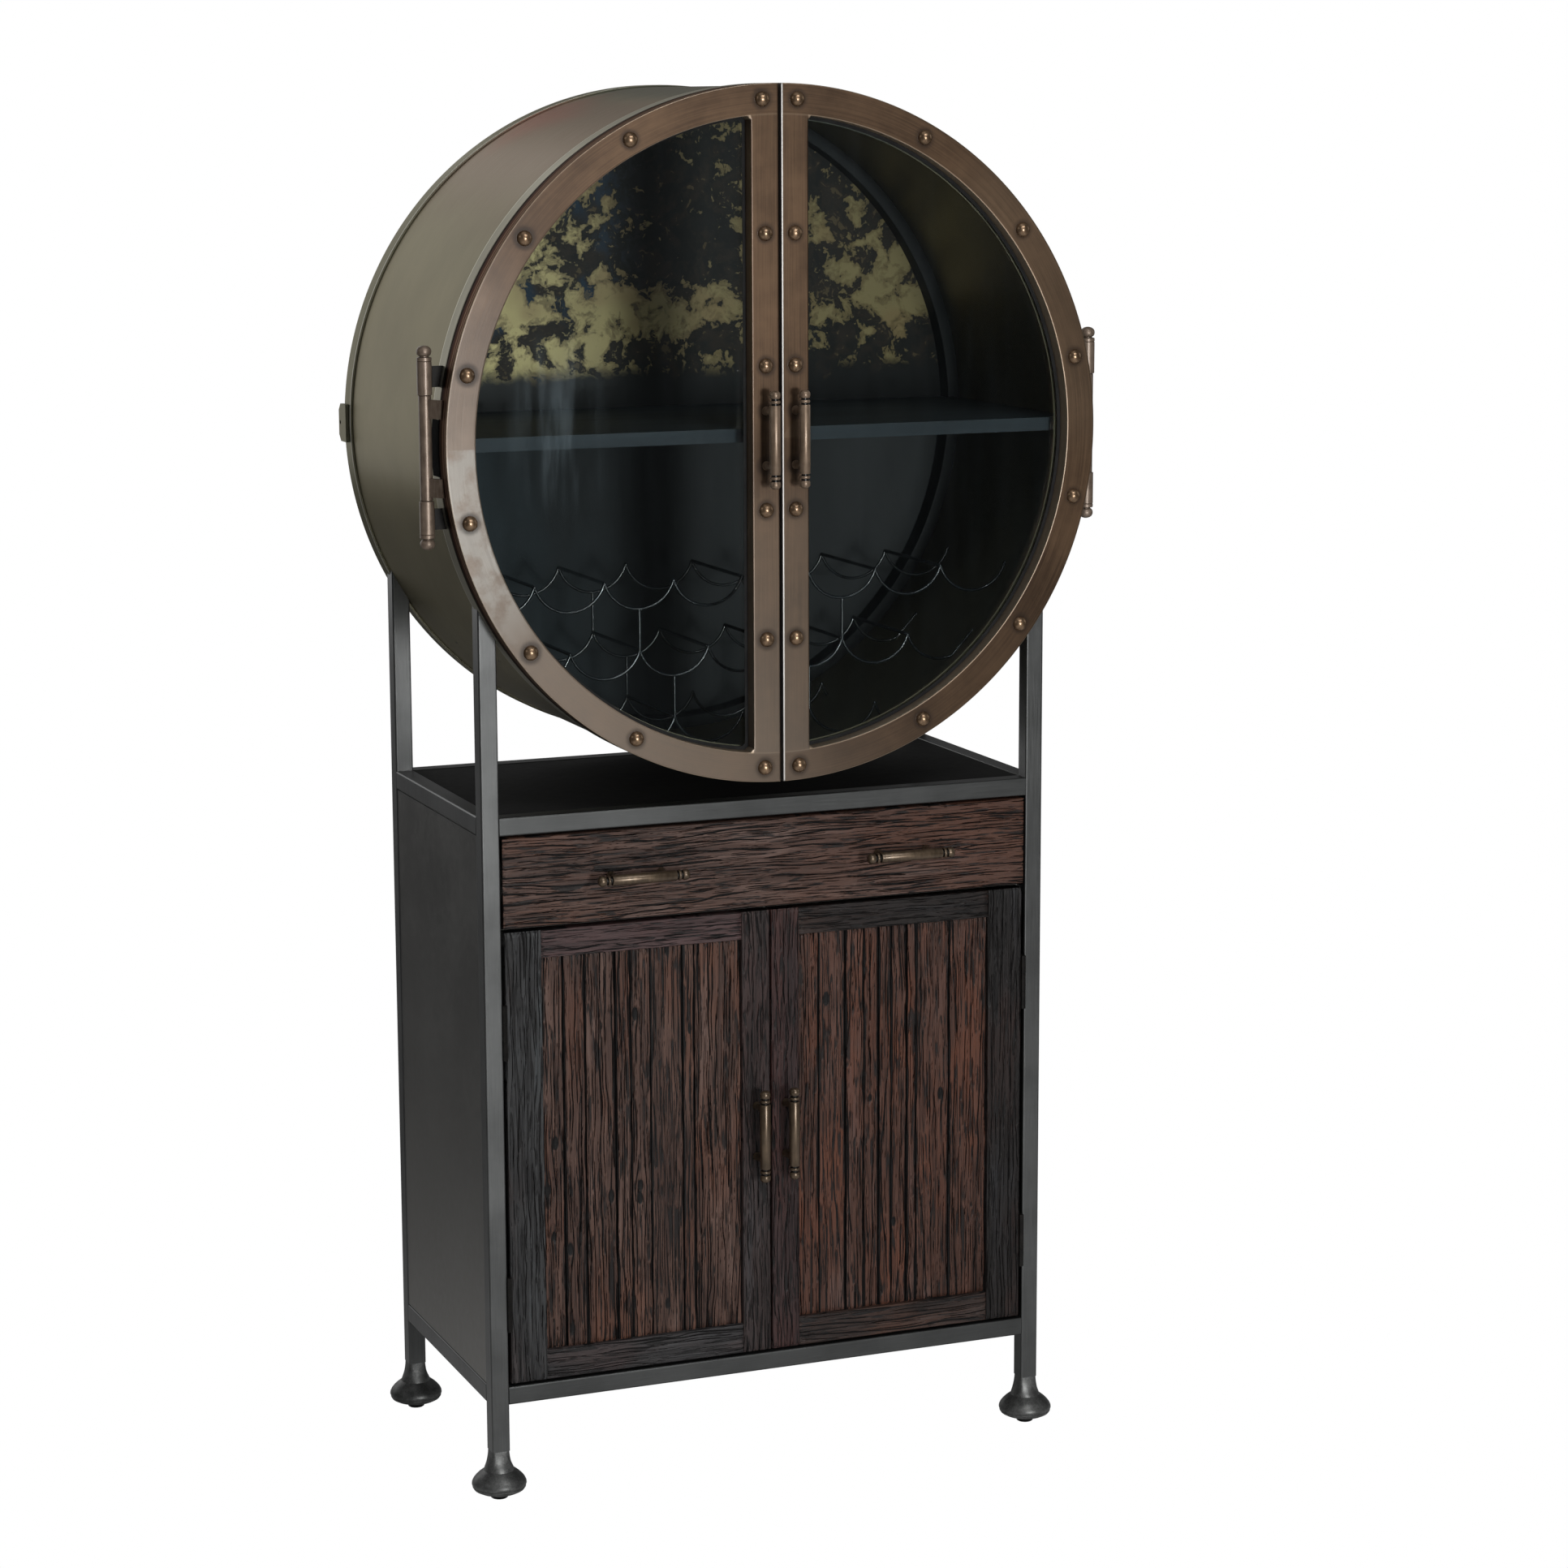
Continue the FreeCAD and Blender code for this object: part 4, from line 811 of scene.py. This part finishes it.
def make_pulls(name, side):
    make_pull("drum_door_bar_pull_" + name, "drum_door_pull_" + name, "drum_door_" + name,
              "pull_bronze", [(side * STILE_X, RING_FRONT, ZC)])
    node = "door_pull_" + name
    x, _, z = middle(node)
    make_pull("lower_door_bar_pull_" + name, node, "lower_door_" + name, "old_brass",
              [(x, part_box(node)[1][1], z)])


# Hinges of the drum doors

FINIAL_NECK = 0.0063
FINIAL = ((0.111, 0.005), (0.1111, 0.0088), (0.1118, 0.0097), (0.1156, 0.0097), (0.1163, 0.0088),
          (0.1164, FINIAL_NECK), (0.1176, 0.0062), (0.1186, 0.0078), (0.1204, 0.0092),
          (0.1230, 0.0097), (0.1258, 0.0095), (0.1284, 0.0080), (0.1303, 0.0052), (0.1312, 0.0020))


def sleeve(low, high, radius):
    """The profile of a round bar with cut edges."""
    cut = 0.0006
    return [(low, radius - cut), (low + cut, radius), (high - cut, radius), (high, radius - cut)]


def make_hinges():
    """Turned pins, knuckles and barrels; flat tabs towards the rim; weld beads as stubby spindles
    whose radius ripples; and a thin black sheet bent round the drum behind each hinge, painted
    shade for the shadow in the gap there."""
    pins, knuckles, shade_sheets = Shape(), Shape(), Shape()
    for name, side in SIDES:
        body = "drum_door_" + name
        spot = (side * HINGE_X, HINGE_Y, ZC)
        pins.turned(both_ends(FINIAL), spot, UP, 36, FINIAL_NECK)
        barrel, welds = Shape(), Shape()
        barrel.turned(sleeve(-0.0675, 0.0675, 0.0082), spot, UP, 40)
        toward = Vector((-side * 0.0185, RING_BACK - HINGE_Y - 0.012, 0))
        across = Vector((-toward.y, toward.x, 0)).normalized() * 0.003
        start = Vector((spot[0], spot[1], 0))
        end = start + toward * 0.82
        tab = [start - across, end - across, end + across, start + across]
        for sign in (-1, 1):
            knuckles.turned([(sign * h, r) for h, r in sleeve(0.068, 0.111, 0.0097)], spot, UP, 40)
            rises = sorted((ZC + sign * 0.0385, ZC + sign * 0.0625))
            barrel.skin([[(p.x, p.y, z) for p in tab] for z in rises])
            bead = [(0.011 * math.sin(a), 0.0036 * math.cos(a) * (1 + 0.2 * math.sin(a * 9 + sign)))
                    for a in np.linspace(-1.45, 1.45, 25)]
            at = (spot[0] - side * 0.0062, spot[1] - 0.0062, ZC + sign * 0.0505)
            welds.turned(bead, at, UP, 20)
        barrel.make("drum_door_hinge_barrel_" + name, "hinge_bronze", body,
                    ("drum_door_barrel_" + name,), "hinge_bronze")
        welds.make("drum_door_hinge_welds_" + name, "weld_silver", body, (), "hinge_bronze", 60)
        # painted shade: a thin black sheet round the drum behind the hinge, for the shadow in the
        # gap there
        near, far = BAND_R + 0.0001, BAND_R + 0.0005
        front, back = DRUM_FRONT + 0.001, DRUM_FRONT + 0.030
        section = ((near, front), (far, front), (far, back), (near, back))
        shade_sheets.skin([[(side * r * math.cos(turn), y, ZC + r * math.sin(turn)) for r, y in section]
                    for turn in np.linspace(-0.080, 0.080, 25)])
    shade_sheets.make("hinge_shims", "shade_black", "cabinet", (), "glide_rubber")
    pins.make("hinge_pin_finials", "hinge_bronze", "cabinet", ("hinge_pins",), "hinge_bronze", 50)
    knuckles.make("hinge_knuckle_tubes", "hinge_bronze", "cabinet", ("fixed_knuckles",),
                  "hinge_bronze")


# Post frame and feet

def make_frame():
    """Square tubes with rounded corners; the tops of the posts follow the drum's circle."""
    outline = rounded_square(TUBE / 2, 0.0021)

    def cope(points):
        points = points.copy()
        points[:, 2] = ZC - np.sqrt((DRUM_R - 0.0002) ** 2 - points[:, 0] ** 2)
        return points

    for node in ("post_front_left", "post_front_right", "post_back_left", "post_back_right"):
        low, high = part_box(node)
        x, y, _ = middle(node)
        Shape().bar(outline, (x, y, low[2]), (x, y, high[2] - 0.02), RIGHT, cope).make(
            node + "_tube", "frame_steel", "cabinet", (node,), "frame_steel")
    for node in ("front_rails", "back_rails", "left_rails", "right_rails"):
        low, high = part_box(node)
        x, y, _ = middle(node)
        shape = Shape()
        for z in (low[2] + TUBE / 2, high[2] - TUBE / 2):
            if node in ("front_rails", "back_rails"):
                shape.bar(outline, (low[0], y, z), (high[0], y, z), BACK)
            else:
                shape.bar(outline, (x, low[1], z), (x, high[1], z), RIGHT)
        shape.make(node + "_tubes", "frame_steel", "cabinet", (node,), "frame_steel")


FOOT_R, FOOT_WAIST, FOOT_TOP, FOOT_SIDES = 0.0375, 0.0208, 0.0123, 64
# (height, radius) up to the waist, then (height, share of the square)
FOOT_BELL = ((0.0, 0.0160), (0.0010, 0.0225), (0.0028, 0.0295), (0.0055, 0.0345), (0.0082, 0.0363),
             (0.0094, 0.0364), (0.0100, 0.0359), (0.0106, 0.0366), (0.0125, 0.0373),
             (0.0152, 0.0370), (0.0188, 0.0353), (0.0225, 0.0324), (0.0262, 0.0287),
             (0.0295, 0.0246), (0.0320, FOOT_WAIST))
FOOT_NECK = ((0.0345, 0.10), (0.0375, 0.26), (0.041, 0.45), (0.045, 0.63), (0.0495, 0.79),
             (0.0545, 0.92), (0.060, 1.0))
GLIDE = ((0.0, 0.0105), (0.0008, 0.0116), (0.0066, 0.0140), (0.0076, 0.0144), (0.008, 0.0138))


def make_feet():
    """Each foot's rings turn from a circle at the waist to a rounded square at the post."""
    low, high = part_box("feet")
    turns = full_turn(FOOT_SIDES)
    circle = np.stack([np.cos(turns), np.sin(turns)], axis=1)
    square = circle / ((np.abs(circle) ** 7.0).sum(axis=1) ** (1 / 7.0))[:, None]
    rims = [(h, circle * r) for h, r in FOOT_BELL]
    rims += [(h, circle * FOOT_WAIST * (1 - share) + square * FOOT_TOP * share)
             for h, share in FOOT_NECK]
    feet, glides = Shape(), Shape()
    for x in (low[0] + FOOT_R, high[0] - FOOT_R):
        for y in (low[1] + FOOT_R, high[1] - FOOT_R):
            feet.skin([np.column_stack([x + flat[:, 0], y + flat[:, 1],
                                        np.full(FOOT_SIDES, low[2] + h)]) for h, flat in rims])
            glides.turned(GLIDE, (x, y, 0), UP, 40)
    feet.make("cast_feet", "foot_iron", "cabinet", ("feet",), "foot_iron", 28)
    glides.make("foot_glides", "black_rubber", "cabinet", ("glides",), "glide_rubber")


# Bottle rack: node, shift of the cusps, places of the ties and of the rods, all in pitches

RACK_ROWS = (
    ("rack_top_wires", 0.0, (), (0, -2, 2, -3, 3)),
    ("rack_middle_wires", 0.5, (-1.5, 1.5), (-0.5, 0.5, -1.5, 1.5, -2.5, 2.5)),
    ("rack_low_wires", 0.0, (-1, 1), (-1, 1)),
)
WIRE_BEAD = ((-0.0034, 0.0009), (-0.002, 0.002175), (0.0, 0.00255), (0.002, 0.002175),
             (0.0034, 0.0009))


def make_rack():
    """Rows of hanging wire arcs of one circle that meet in cusps, each row ending at the drum's
    inner wall, with a bead at each cusp, upright ties, and rods from front to back."""
    radius = (RACK_PITCH ** 2 / 4 + RACK_SAG ** 2) / (2 * RACK_SAG)
    spread = math.asin(RACK_PITCH / 2 / radius)
    lean = np.linspace(-spread, spread, 15)
    arc_x, arc_z = radius * np.sin(lean), -RACK_SAG + radius * (1 - np.cos(lean))
    rods = Shape()
    rod_low, rod_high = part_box("rack_rods")
    rod = [(0.0, ROD_R), (rod_high[1] - rod_low[1], ROD_R)]
    tie = [(0.0, WIRE_R), (RACK_DROP - RACK_SAG, WIRE_R)]
    for index, (node, shift, ties, rod_places) in enumerate(RACK_ROWS):
        low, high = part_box(node)
        cusp = ZC - DRUM_IN + RACK_RISE + (2 - index) * RACK_DROP
        shape = Shape()
        for y in (low[1] + WIRE_INSET, high[1] - WIRE_INSET):
            for place in np.arange(-6.5, 8.5) + shift:
                centre = place * RACK_PITCH
                path = np.column_stack([arc_x + centre, np.full_like(arc_x, y), cusp + arc_z])
                inside = path[:, 0] ** 2 + (path[:, 2] - ZC) ** 2 < (DRUM_IN + 0.0005) ** 2
                if inside.sum() > 2:
                    shape.tube(path[inside], WIRE_R)
                if inside[-1]:
                    at = (centre + RACK_PITCH / 2, y, cusp - 0.0012)
                    shape.turned(WIRE_BEAD, at, UP, 12)
            for place in ties:
                shape.turned(tie, (place * RACK_PITCH, y, cusp), UP, 12)
        shape.make(node + "_smooth", "rack_wire", "cabinet", (node,), "rack_wire")
        for place in rod_places:
            rods.turned(rod, (place * RACK_PITCH, rod_low[1], cusp), BACK, 14)
    rods.make("rack_rods_smooth", "rack_wire", "cabinet", ("rack_rods",), "rack_wire")


# Boards

def grooves(along, flow, spacing, widest, run, seed):
    """Near-parallel grooves from 0 on the ridges to 1 in their bottoms.

    There is one line per spacing of the flow place. Smooth noise along each line, with values of
    its own, moves it across, swells it to its widest half width and lets it fade away again.
    """
    field = np.zeros_like(flow)
    place = flow / spacing
    whole = np.floor(place)
    for line in (whole - 1, whole, whole + 1):
        drift = (value_noise(along / (run * 3), line, seed) - 0.5) * 0.7
        drift = drift + (value_noise(along / (run * 0.5), line, seed + 1) - 0.5) * 0.12
        share = 0.45 + 0.55 * value_noise(line * 0.37, line, seed + 3)
        swell = value_noise(along / run, line, seed + 2) * share
        half = widest * smooth_step((swell - 0.18) / 0.5)
        gap = np.abs(place - line - 0.5 - drift) * spacing
        field = np.maximum(field, np.clip(1.9 - 1.4 * gap / np.maximum(half, 1e-5), 0, 1))
    return field


def board(shape, low, high, grain, seed, fine_lines, wide_lines, depth, wander=0.012, edge=0.0016,
          tone=0.5, worn=0.0, knots=0, coarse=0.0038, fine=0.00052):
    """A board whose front face is a grid with rounded rims, and whose relief sinks from the CAD
    face.

    The grain runs straight in a place that smooth noise shifts across the board and that swells
    round the knots. In that place lie fine and wide grooves, low ridges and slow changes of tone.
    """
    rng = np.random.RandomState(seed)
    along, across = (0, 2) if grain == "x" else (2, 0)
    length, width = high[along] - low[along], high[across] - low[across]
    n, m = max(int(length / coarse), 8), max(int(width / fine), 8)
    a = np.linspace(0, length, n)[:, None] * np.ones((1, m))
    c = np.linspace(0, width, m)[None, :] * np.ones((n, 1))
    flow = c + (layered_noise(a / 0.11 + seed, c / 0.05, seed + 40) - 0.5) * wander
    core = np.zeros_like(flow)
    for ka, kc, size in rng.rand(knots, 3):
        size = 0.003 + 0.003 * size
        da, dc = (a - ka * length) / (size * 3.0), (c - (0.15 + 0.7 * kc) * width) / size
        flow = flow - dc * size * 0.75 * np.exp(-(da ** 2 + dc ** 2) / 2.5)
        core = np.maximum(core, smooth_step(1.7 - 1.6 * np.sqrt(da ** 2 * 2.0 + dc ** 2)))
    splits = np.maximum(grooves(a, flow, *fine_lines, seed + 60),
                        grooves(a, flow, *wide_lines, seed + 70))
    splits = np.maximum(splits, core)
    ridge = layered_noise(a / 0.09 + 3 * seed, flow / 0.0044, seed + 20, 2)
    slow = layered_noise(a / 0.2 + seed, flow / 0.014, seed + 30, 3)
    side_rim = np.minimum(c, width - c)
    rim = np.minimum(side_rim, np.minimum(a, length - a))
    if worn:
        ragged = smooth_step(value_noise(a / 0.045, (c > width / 2) * 9.0, seed + 50) * 1.6 - 0.3)
        ragged = ragged + 0.3 * value_noise(a / 0.009, c / 0.02, seed + 51)
        chipped = smooth_step(1.5 - side_rim / (0.0003 + worn * ragged))
        splits = np.maximum(splits, chipped)
    round_in = edge - np.sqrt(np.maximum(edge ** 2 - (edge - np.minimum(rim, edge)) ** 2, 0.0))
    sunk = round_in + splits * depth + (1 - ridge) * 0.0006
    sunk = np.minimum(sunk, (high[1] - low[1]) * 0.4)
    front, rear = np.zeros((n, m, 3)), np.zeros((n, 2, 3))
    front[:, :, along], front[:, :, across] = low[along] + a, low[across] + c
    front[:, :, 1] = low[1] + sunk
    rear[:, :, along], rear[:, :, across] = low[along] + a[:, :2], (high[across], low[across])
    rear[:, :, 1] = high[1]
    look = np.clip(slow * 0.6 + ridge * 0.4 + tone - 0.5, 0, 1)
    values = np.zeros((n, m + 2, 3))
    values[:, :m, 0], values[:, :m, 1] = look, splits
    values[:, m:, 0] = 0.4
    values[:, :, 2] = seed * 0.137
    shape.skin(np.concatenate([front, rear], axis=1), values=values)


def make_board(name, finish, body, replaced, parts, **settings):
    """One object of boards, each given by its low and high corner, grain, seed and own settings."""
    shape = Shape()
    for low, high, grain, seed, own in parts:
        board(shape, low, high, grain, seed, **{**settings, **own})
    shape.make(name, finish, body, replaced, "dark_wood", 60, False)


def end_part(low, high, axis, size, at_high):
    """The corners of the part of a box that a size along one axis leaves at its low or high end."""
    low, high = list(low), list(high)
    if at_high:
        low[axis] = high[axis] - size
    else:
        high[axis] = low[axis] + size
    return low, high


# Grooves as (spacing, widest half width, run) of fine and wide lines
DRAWER_GRAIN = {"fine_lines": (0.0041, 0.00045, 0.026), "wide_lines": (0.0125, 0.0010, 0.040),
                "depth": 0.0013, "wander": 0.010, "coarse": 0.0034, "fine": 0.00044}
LIGHT_GRAIN = {"fine_lines": (0.0060, 0.00045, 0.014), "wide_lines": (0.016, 0.0007, 0.03),
               "depth": 0.0008, "fine": 0.00034}
PLAIN_GRAIN = {"fine_lines": (0.0062, 0.0005, 0.04), "wide_lines": (0.015, 0.0008, 0.06),
               "depth": 0.0009, "fine": 0.00034}
PLANK_GRAIN = {
    "left": {"fine_lines": (0.0040, 0.00048, 0.045), "wide_lines": (0.0140, 0.0008, 0.06)},
    "right": {"fine_lines": (0.0048, 0.00042, 0.04), "wide_lines": (0.018, 0.0008, 0.07)},
}
# Each plank's share of the width, and how far it is set back
PLANKS = {
    "left": ((0.107, 0.107, 0.152, 0.075, 0.102, 0.162, 0.058, 0.237),
             (0.5, -0.6, 0.2, -1.0, 0.4, 0.9, -0.4, 0.6)),
    "right": ((0.112, 0.139, 0.096, 0.080, 0.066, 0.082, 0.049, 0.177, 0.199),
              (0.3, 0.8, -0.9, 0.6, -0.3, 1.0, -0.6, 0.5, 0.2)),
}
OUTER_STILE, MEETING_STILE, TOP_RAIL, LOW_RAIL = 0.051, 0.0405, 0.038, 0.041
PLANK_RECESS, PLANK_STEP, PLANK_GAP = 0.006, 0.0011, 0.0005


def make_wood():
    low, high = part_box("drawer_front")
    make_board("drawer_front_board", "wood_drawer", "drawer", ("drawer_front",),
               [(low, high, "x", 3, {})], **DRAWER_GRAIN)
    for name, side in SIDES:
        make_lower_door(name, side)


def make_lower_door(name, side):
    """Stiles and rails, and planks of unequal widths set back by steps between them."""
    body = "lower_door_" + name
    stiles, rails, planks = "door_stiles_" + name, "door_rails_" + name, "door_planks_" + name

    outer = "wood_charcoal" if side < 0 else "wood_black"
    for piece, finish, node, replaced, part, grain, seed, settings in (
            ("stile_outer_", outer, stiles, (stiles,), (0, OUTER_STILE, side > 0), "z", 12,
             PLAIN_GRAIN),
            ("stile_meeting_", "wood_stile_" + name, stiles, (), (0, MEETING_STILE, side < 0),
             "z", 16, LIGHT_GRAIN),
            ("rail_top_", "wood_rail_" + name, rails, (rails,), (2, TOP_RAIL, True), "x", 23,
             LIGHT_GRAIN),
            ("rail_low_", "wood_rail_low_" + name, rails, (), (2, LOW_RAIL, False), "x", 27,
             PLAIN_GRAIN)):
        make_board("door_" + piece + name, finish, body, replaced,
                   [(*end_part(*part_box(node), *part), grain, seed + side, {})], **settings)

    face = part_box(stiles)[0][1]
    low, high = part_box(planks)
    widths, steps = PLANKS[name]
    parts = []
    x = low[0]
    for index, (width, step) in enumerate(zip(widths, steps)):
        x_next = x + (high[0] - low[0]) * width / sum(widths)
        x0 = x + (PLANK_GAP if index else 0.0)
        x1 = x_next - (PLANK_GAP if index < len(widths) - 1 else 0.0)
        own = {"tone": 0.44 + 0.12 * ((index * 5 + side) % 4) / 3,
               "knots": (index * 3 + side) % 4 if side < 0 else index % 2}
        parts.append(((x0, face + PLANK_RECESS + PLANK_STEP * step, low[2]), (x1, high[1], high[2]),
                      "z", 40 + 20 * (side > 0) + index, own))
        x = x_next
    make_board("door_plank_boards_" + name, "wood_planks_" + name, body, (planks,), parts,
               **PLANK_GRAIN[name], depth=0.0013, wander=0.010, edge=0.0010, worn=0.0015)


# Studio: each lamp's place, aim, width and height, and power in watts

LAMPS = {
    "key_lamp": ((0.1, -6.0, 1.3), (0, 0, 1.1), (0.8, 0.8), 150.0),
    "front_soft_lamp": ((-0.6, -5.4, 2.6), (-0.1, 0, 1.1), (2.6, 1.8), 22.0),
    "low_front_lamp": ((0.35, -5.6, 0.45), (0, 0, 0.6), (1.6, 0.6), 24.0),
    "floor_lamp": ((0.2, -2.6, 3.6), (0.1, -1.7, 0), (1.6, 1.0), 40.0),
    "back_wall_lamp": ((-2.1, 5.2, 2.7), (-0.6, 0, 1.9), (5.0, 4.6), 60.0),
    "high_wall_lamp": ((0.9, 4.8, 4.3), (0.0, 0, 1.9), (3.4, 1.8), 11.0),
    "left_lamp": ((-5.0, -1.0, 3.6), (0, 0, 1.4), (1.6, 1.6), 10.0),
    "right_lamp": ((5.0, -1.0, 2.6), (0, 0, 1.0), (1.6, 2.6), 10.0),
    "top_lamp": ((-0.6, -1.0, 5.0), (0, 0, 1.4), (2.4, 2.4), 10.0),
}
CAMERA_LENS, CAMERA_PLACE = 86.18, (-1.8551, -4.8411 + BASE_Y, 1.8630)
CAMERA_DEGREES = ((-22.05, "Z"), (90 - 10.27, "X"), (-0.206, "Z"))


def add(name, data):
    made = bpy.data.objects.new(name, data)
    bpy.context.scene.collection.objects.link(made)
    return made


def lamp(name, place, aim, size, power):
    data = bpy.data.lights.new(name, "AREA")
    data.shape = "RECTANGLE"
    data.size, data.size_y = size
    data.energy = power
    made = add(name, data)
    made.location = place
    made.rotation_euler = (Vector(aim) - Vector(place)).to_track_quat("-Z", "Y").to_euler()
    made.visible_camera = False
    return made


def floor_plane():
    """A pale floor that the camera sees as white as the room; other rays meet it in grey, paler
    nearby."""
    reach = 30
    mesh = bpy.data.meshes.new("floor")
    mesh.from_pydata([(-reach, -reach, 0), (reach, -reach, 0), (reach, reach, 0),
                      (-reach, reach, 0)], [], [(0, 1, 2, 3)])
    f = Finish("floor_white", Roughness=0.8)
    x, y, _ = f.axes()
    near = ((x * x + (y + 1.2) ** 2.0) ** 0.5).step(3.0, 1.0)
    f.feed("Base Color", f.mix(near, (0.2, 0.2, 0.2), (0.8, 0.8, 0.8)))
    seen = f.node("ShaderNodeLightPath", {}, {}, "Is Camera Ray")
    glow = f.node("ShaderNodeEmission", {}, {"Color": (1.0, 1.0, 1.0), "Strength": 1.0})
    mesh.materials.append(f.show(f.mix_shaders(seen, f.matt, glow)))
    return add("floor", mesh)


def white_room():
    """A world that is white to the camera, soft grey to matt surfaces and dim to shiny ones."""
    world = bpy.data.worlds.new("white_room")
    bpy.context.scene.world = world
    world.use_nodes = True
    room = Network(world.node_tree)
    diffuse, glossy = [room.node("ShaderNodeLightPath", {}, {}, ray)
                       for ray in ("Is Diffuse Ray", "Is Glossy Ray")]
    background = room.tree.nodes["Background"].inputs
    room.join((1.0, 1.0, 1.0), background["Color"])
    room.join((1.0 - diffuse * 0.8) * (1.0 - glossy) + glossy * 0.08, background["Strength"])


def photo_camera():
    data = bpy.data.cameras.new("photo_camera")
    data.lens = CAMERA_LENS
    data.sensor_width = 36.0
    data.clip_end = 100.0
    place = Matrix.Translation(CAMERA_PLACE)
    for degrees, axis in CAMERA_DEGREES:
        place = place @ Matrix.Rotation(math.radians(degrees), 4, axis)
    camera = add("photo_camera", data)
    camera.matrix_world = place
    bpy.context.scene.camera = camera


def studio():
    """A pale floor, a white surround, soft lamps and the camera of the photograph."""
    white_room()
    photo_camera()
    bpy.context.scene.view_settings.view_transform = "Standard"
    floor_plane()
    [lamp(name, *facts) for name, facts in LAMPS.items()]


def main():
    dress_cad()
    make_drum()
    make_frame()
    make_feet()
    make_rack()
    make_hinges()
    make_wood()
    for name, side in SIDES:
        make_drum_door(name, side)
        make_pulls(name, side)
    y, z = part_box("drawer_pulls")[1][1], middle("drawer_pulls")[2]
    make_pull("drawer_bar_pulls", "drawer_pulls", "drawer", "old_brass",
              [(side * DRAWER_PULL_X, y, z) for _, side in SIDES], RIGHT)
    studio()


FINISHES = make_finishes()
main()
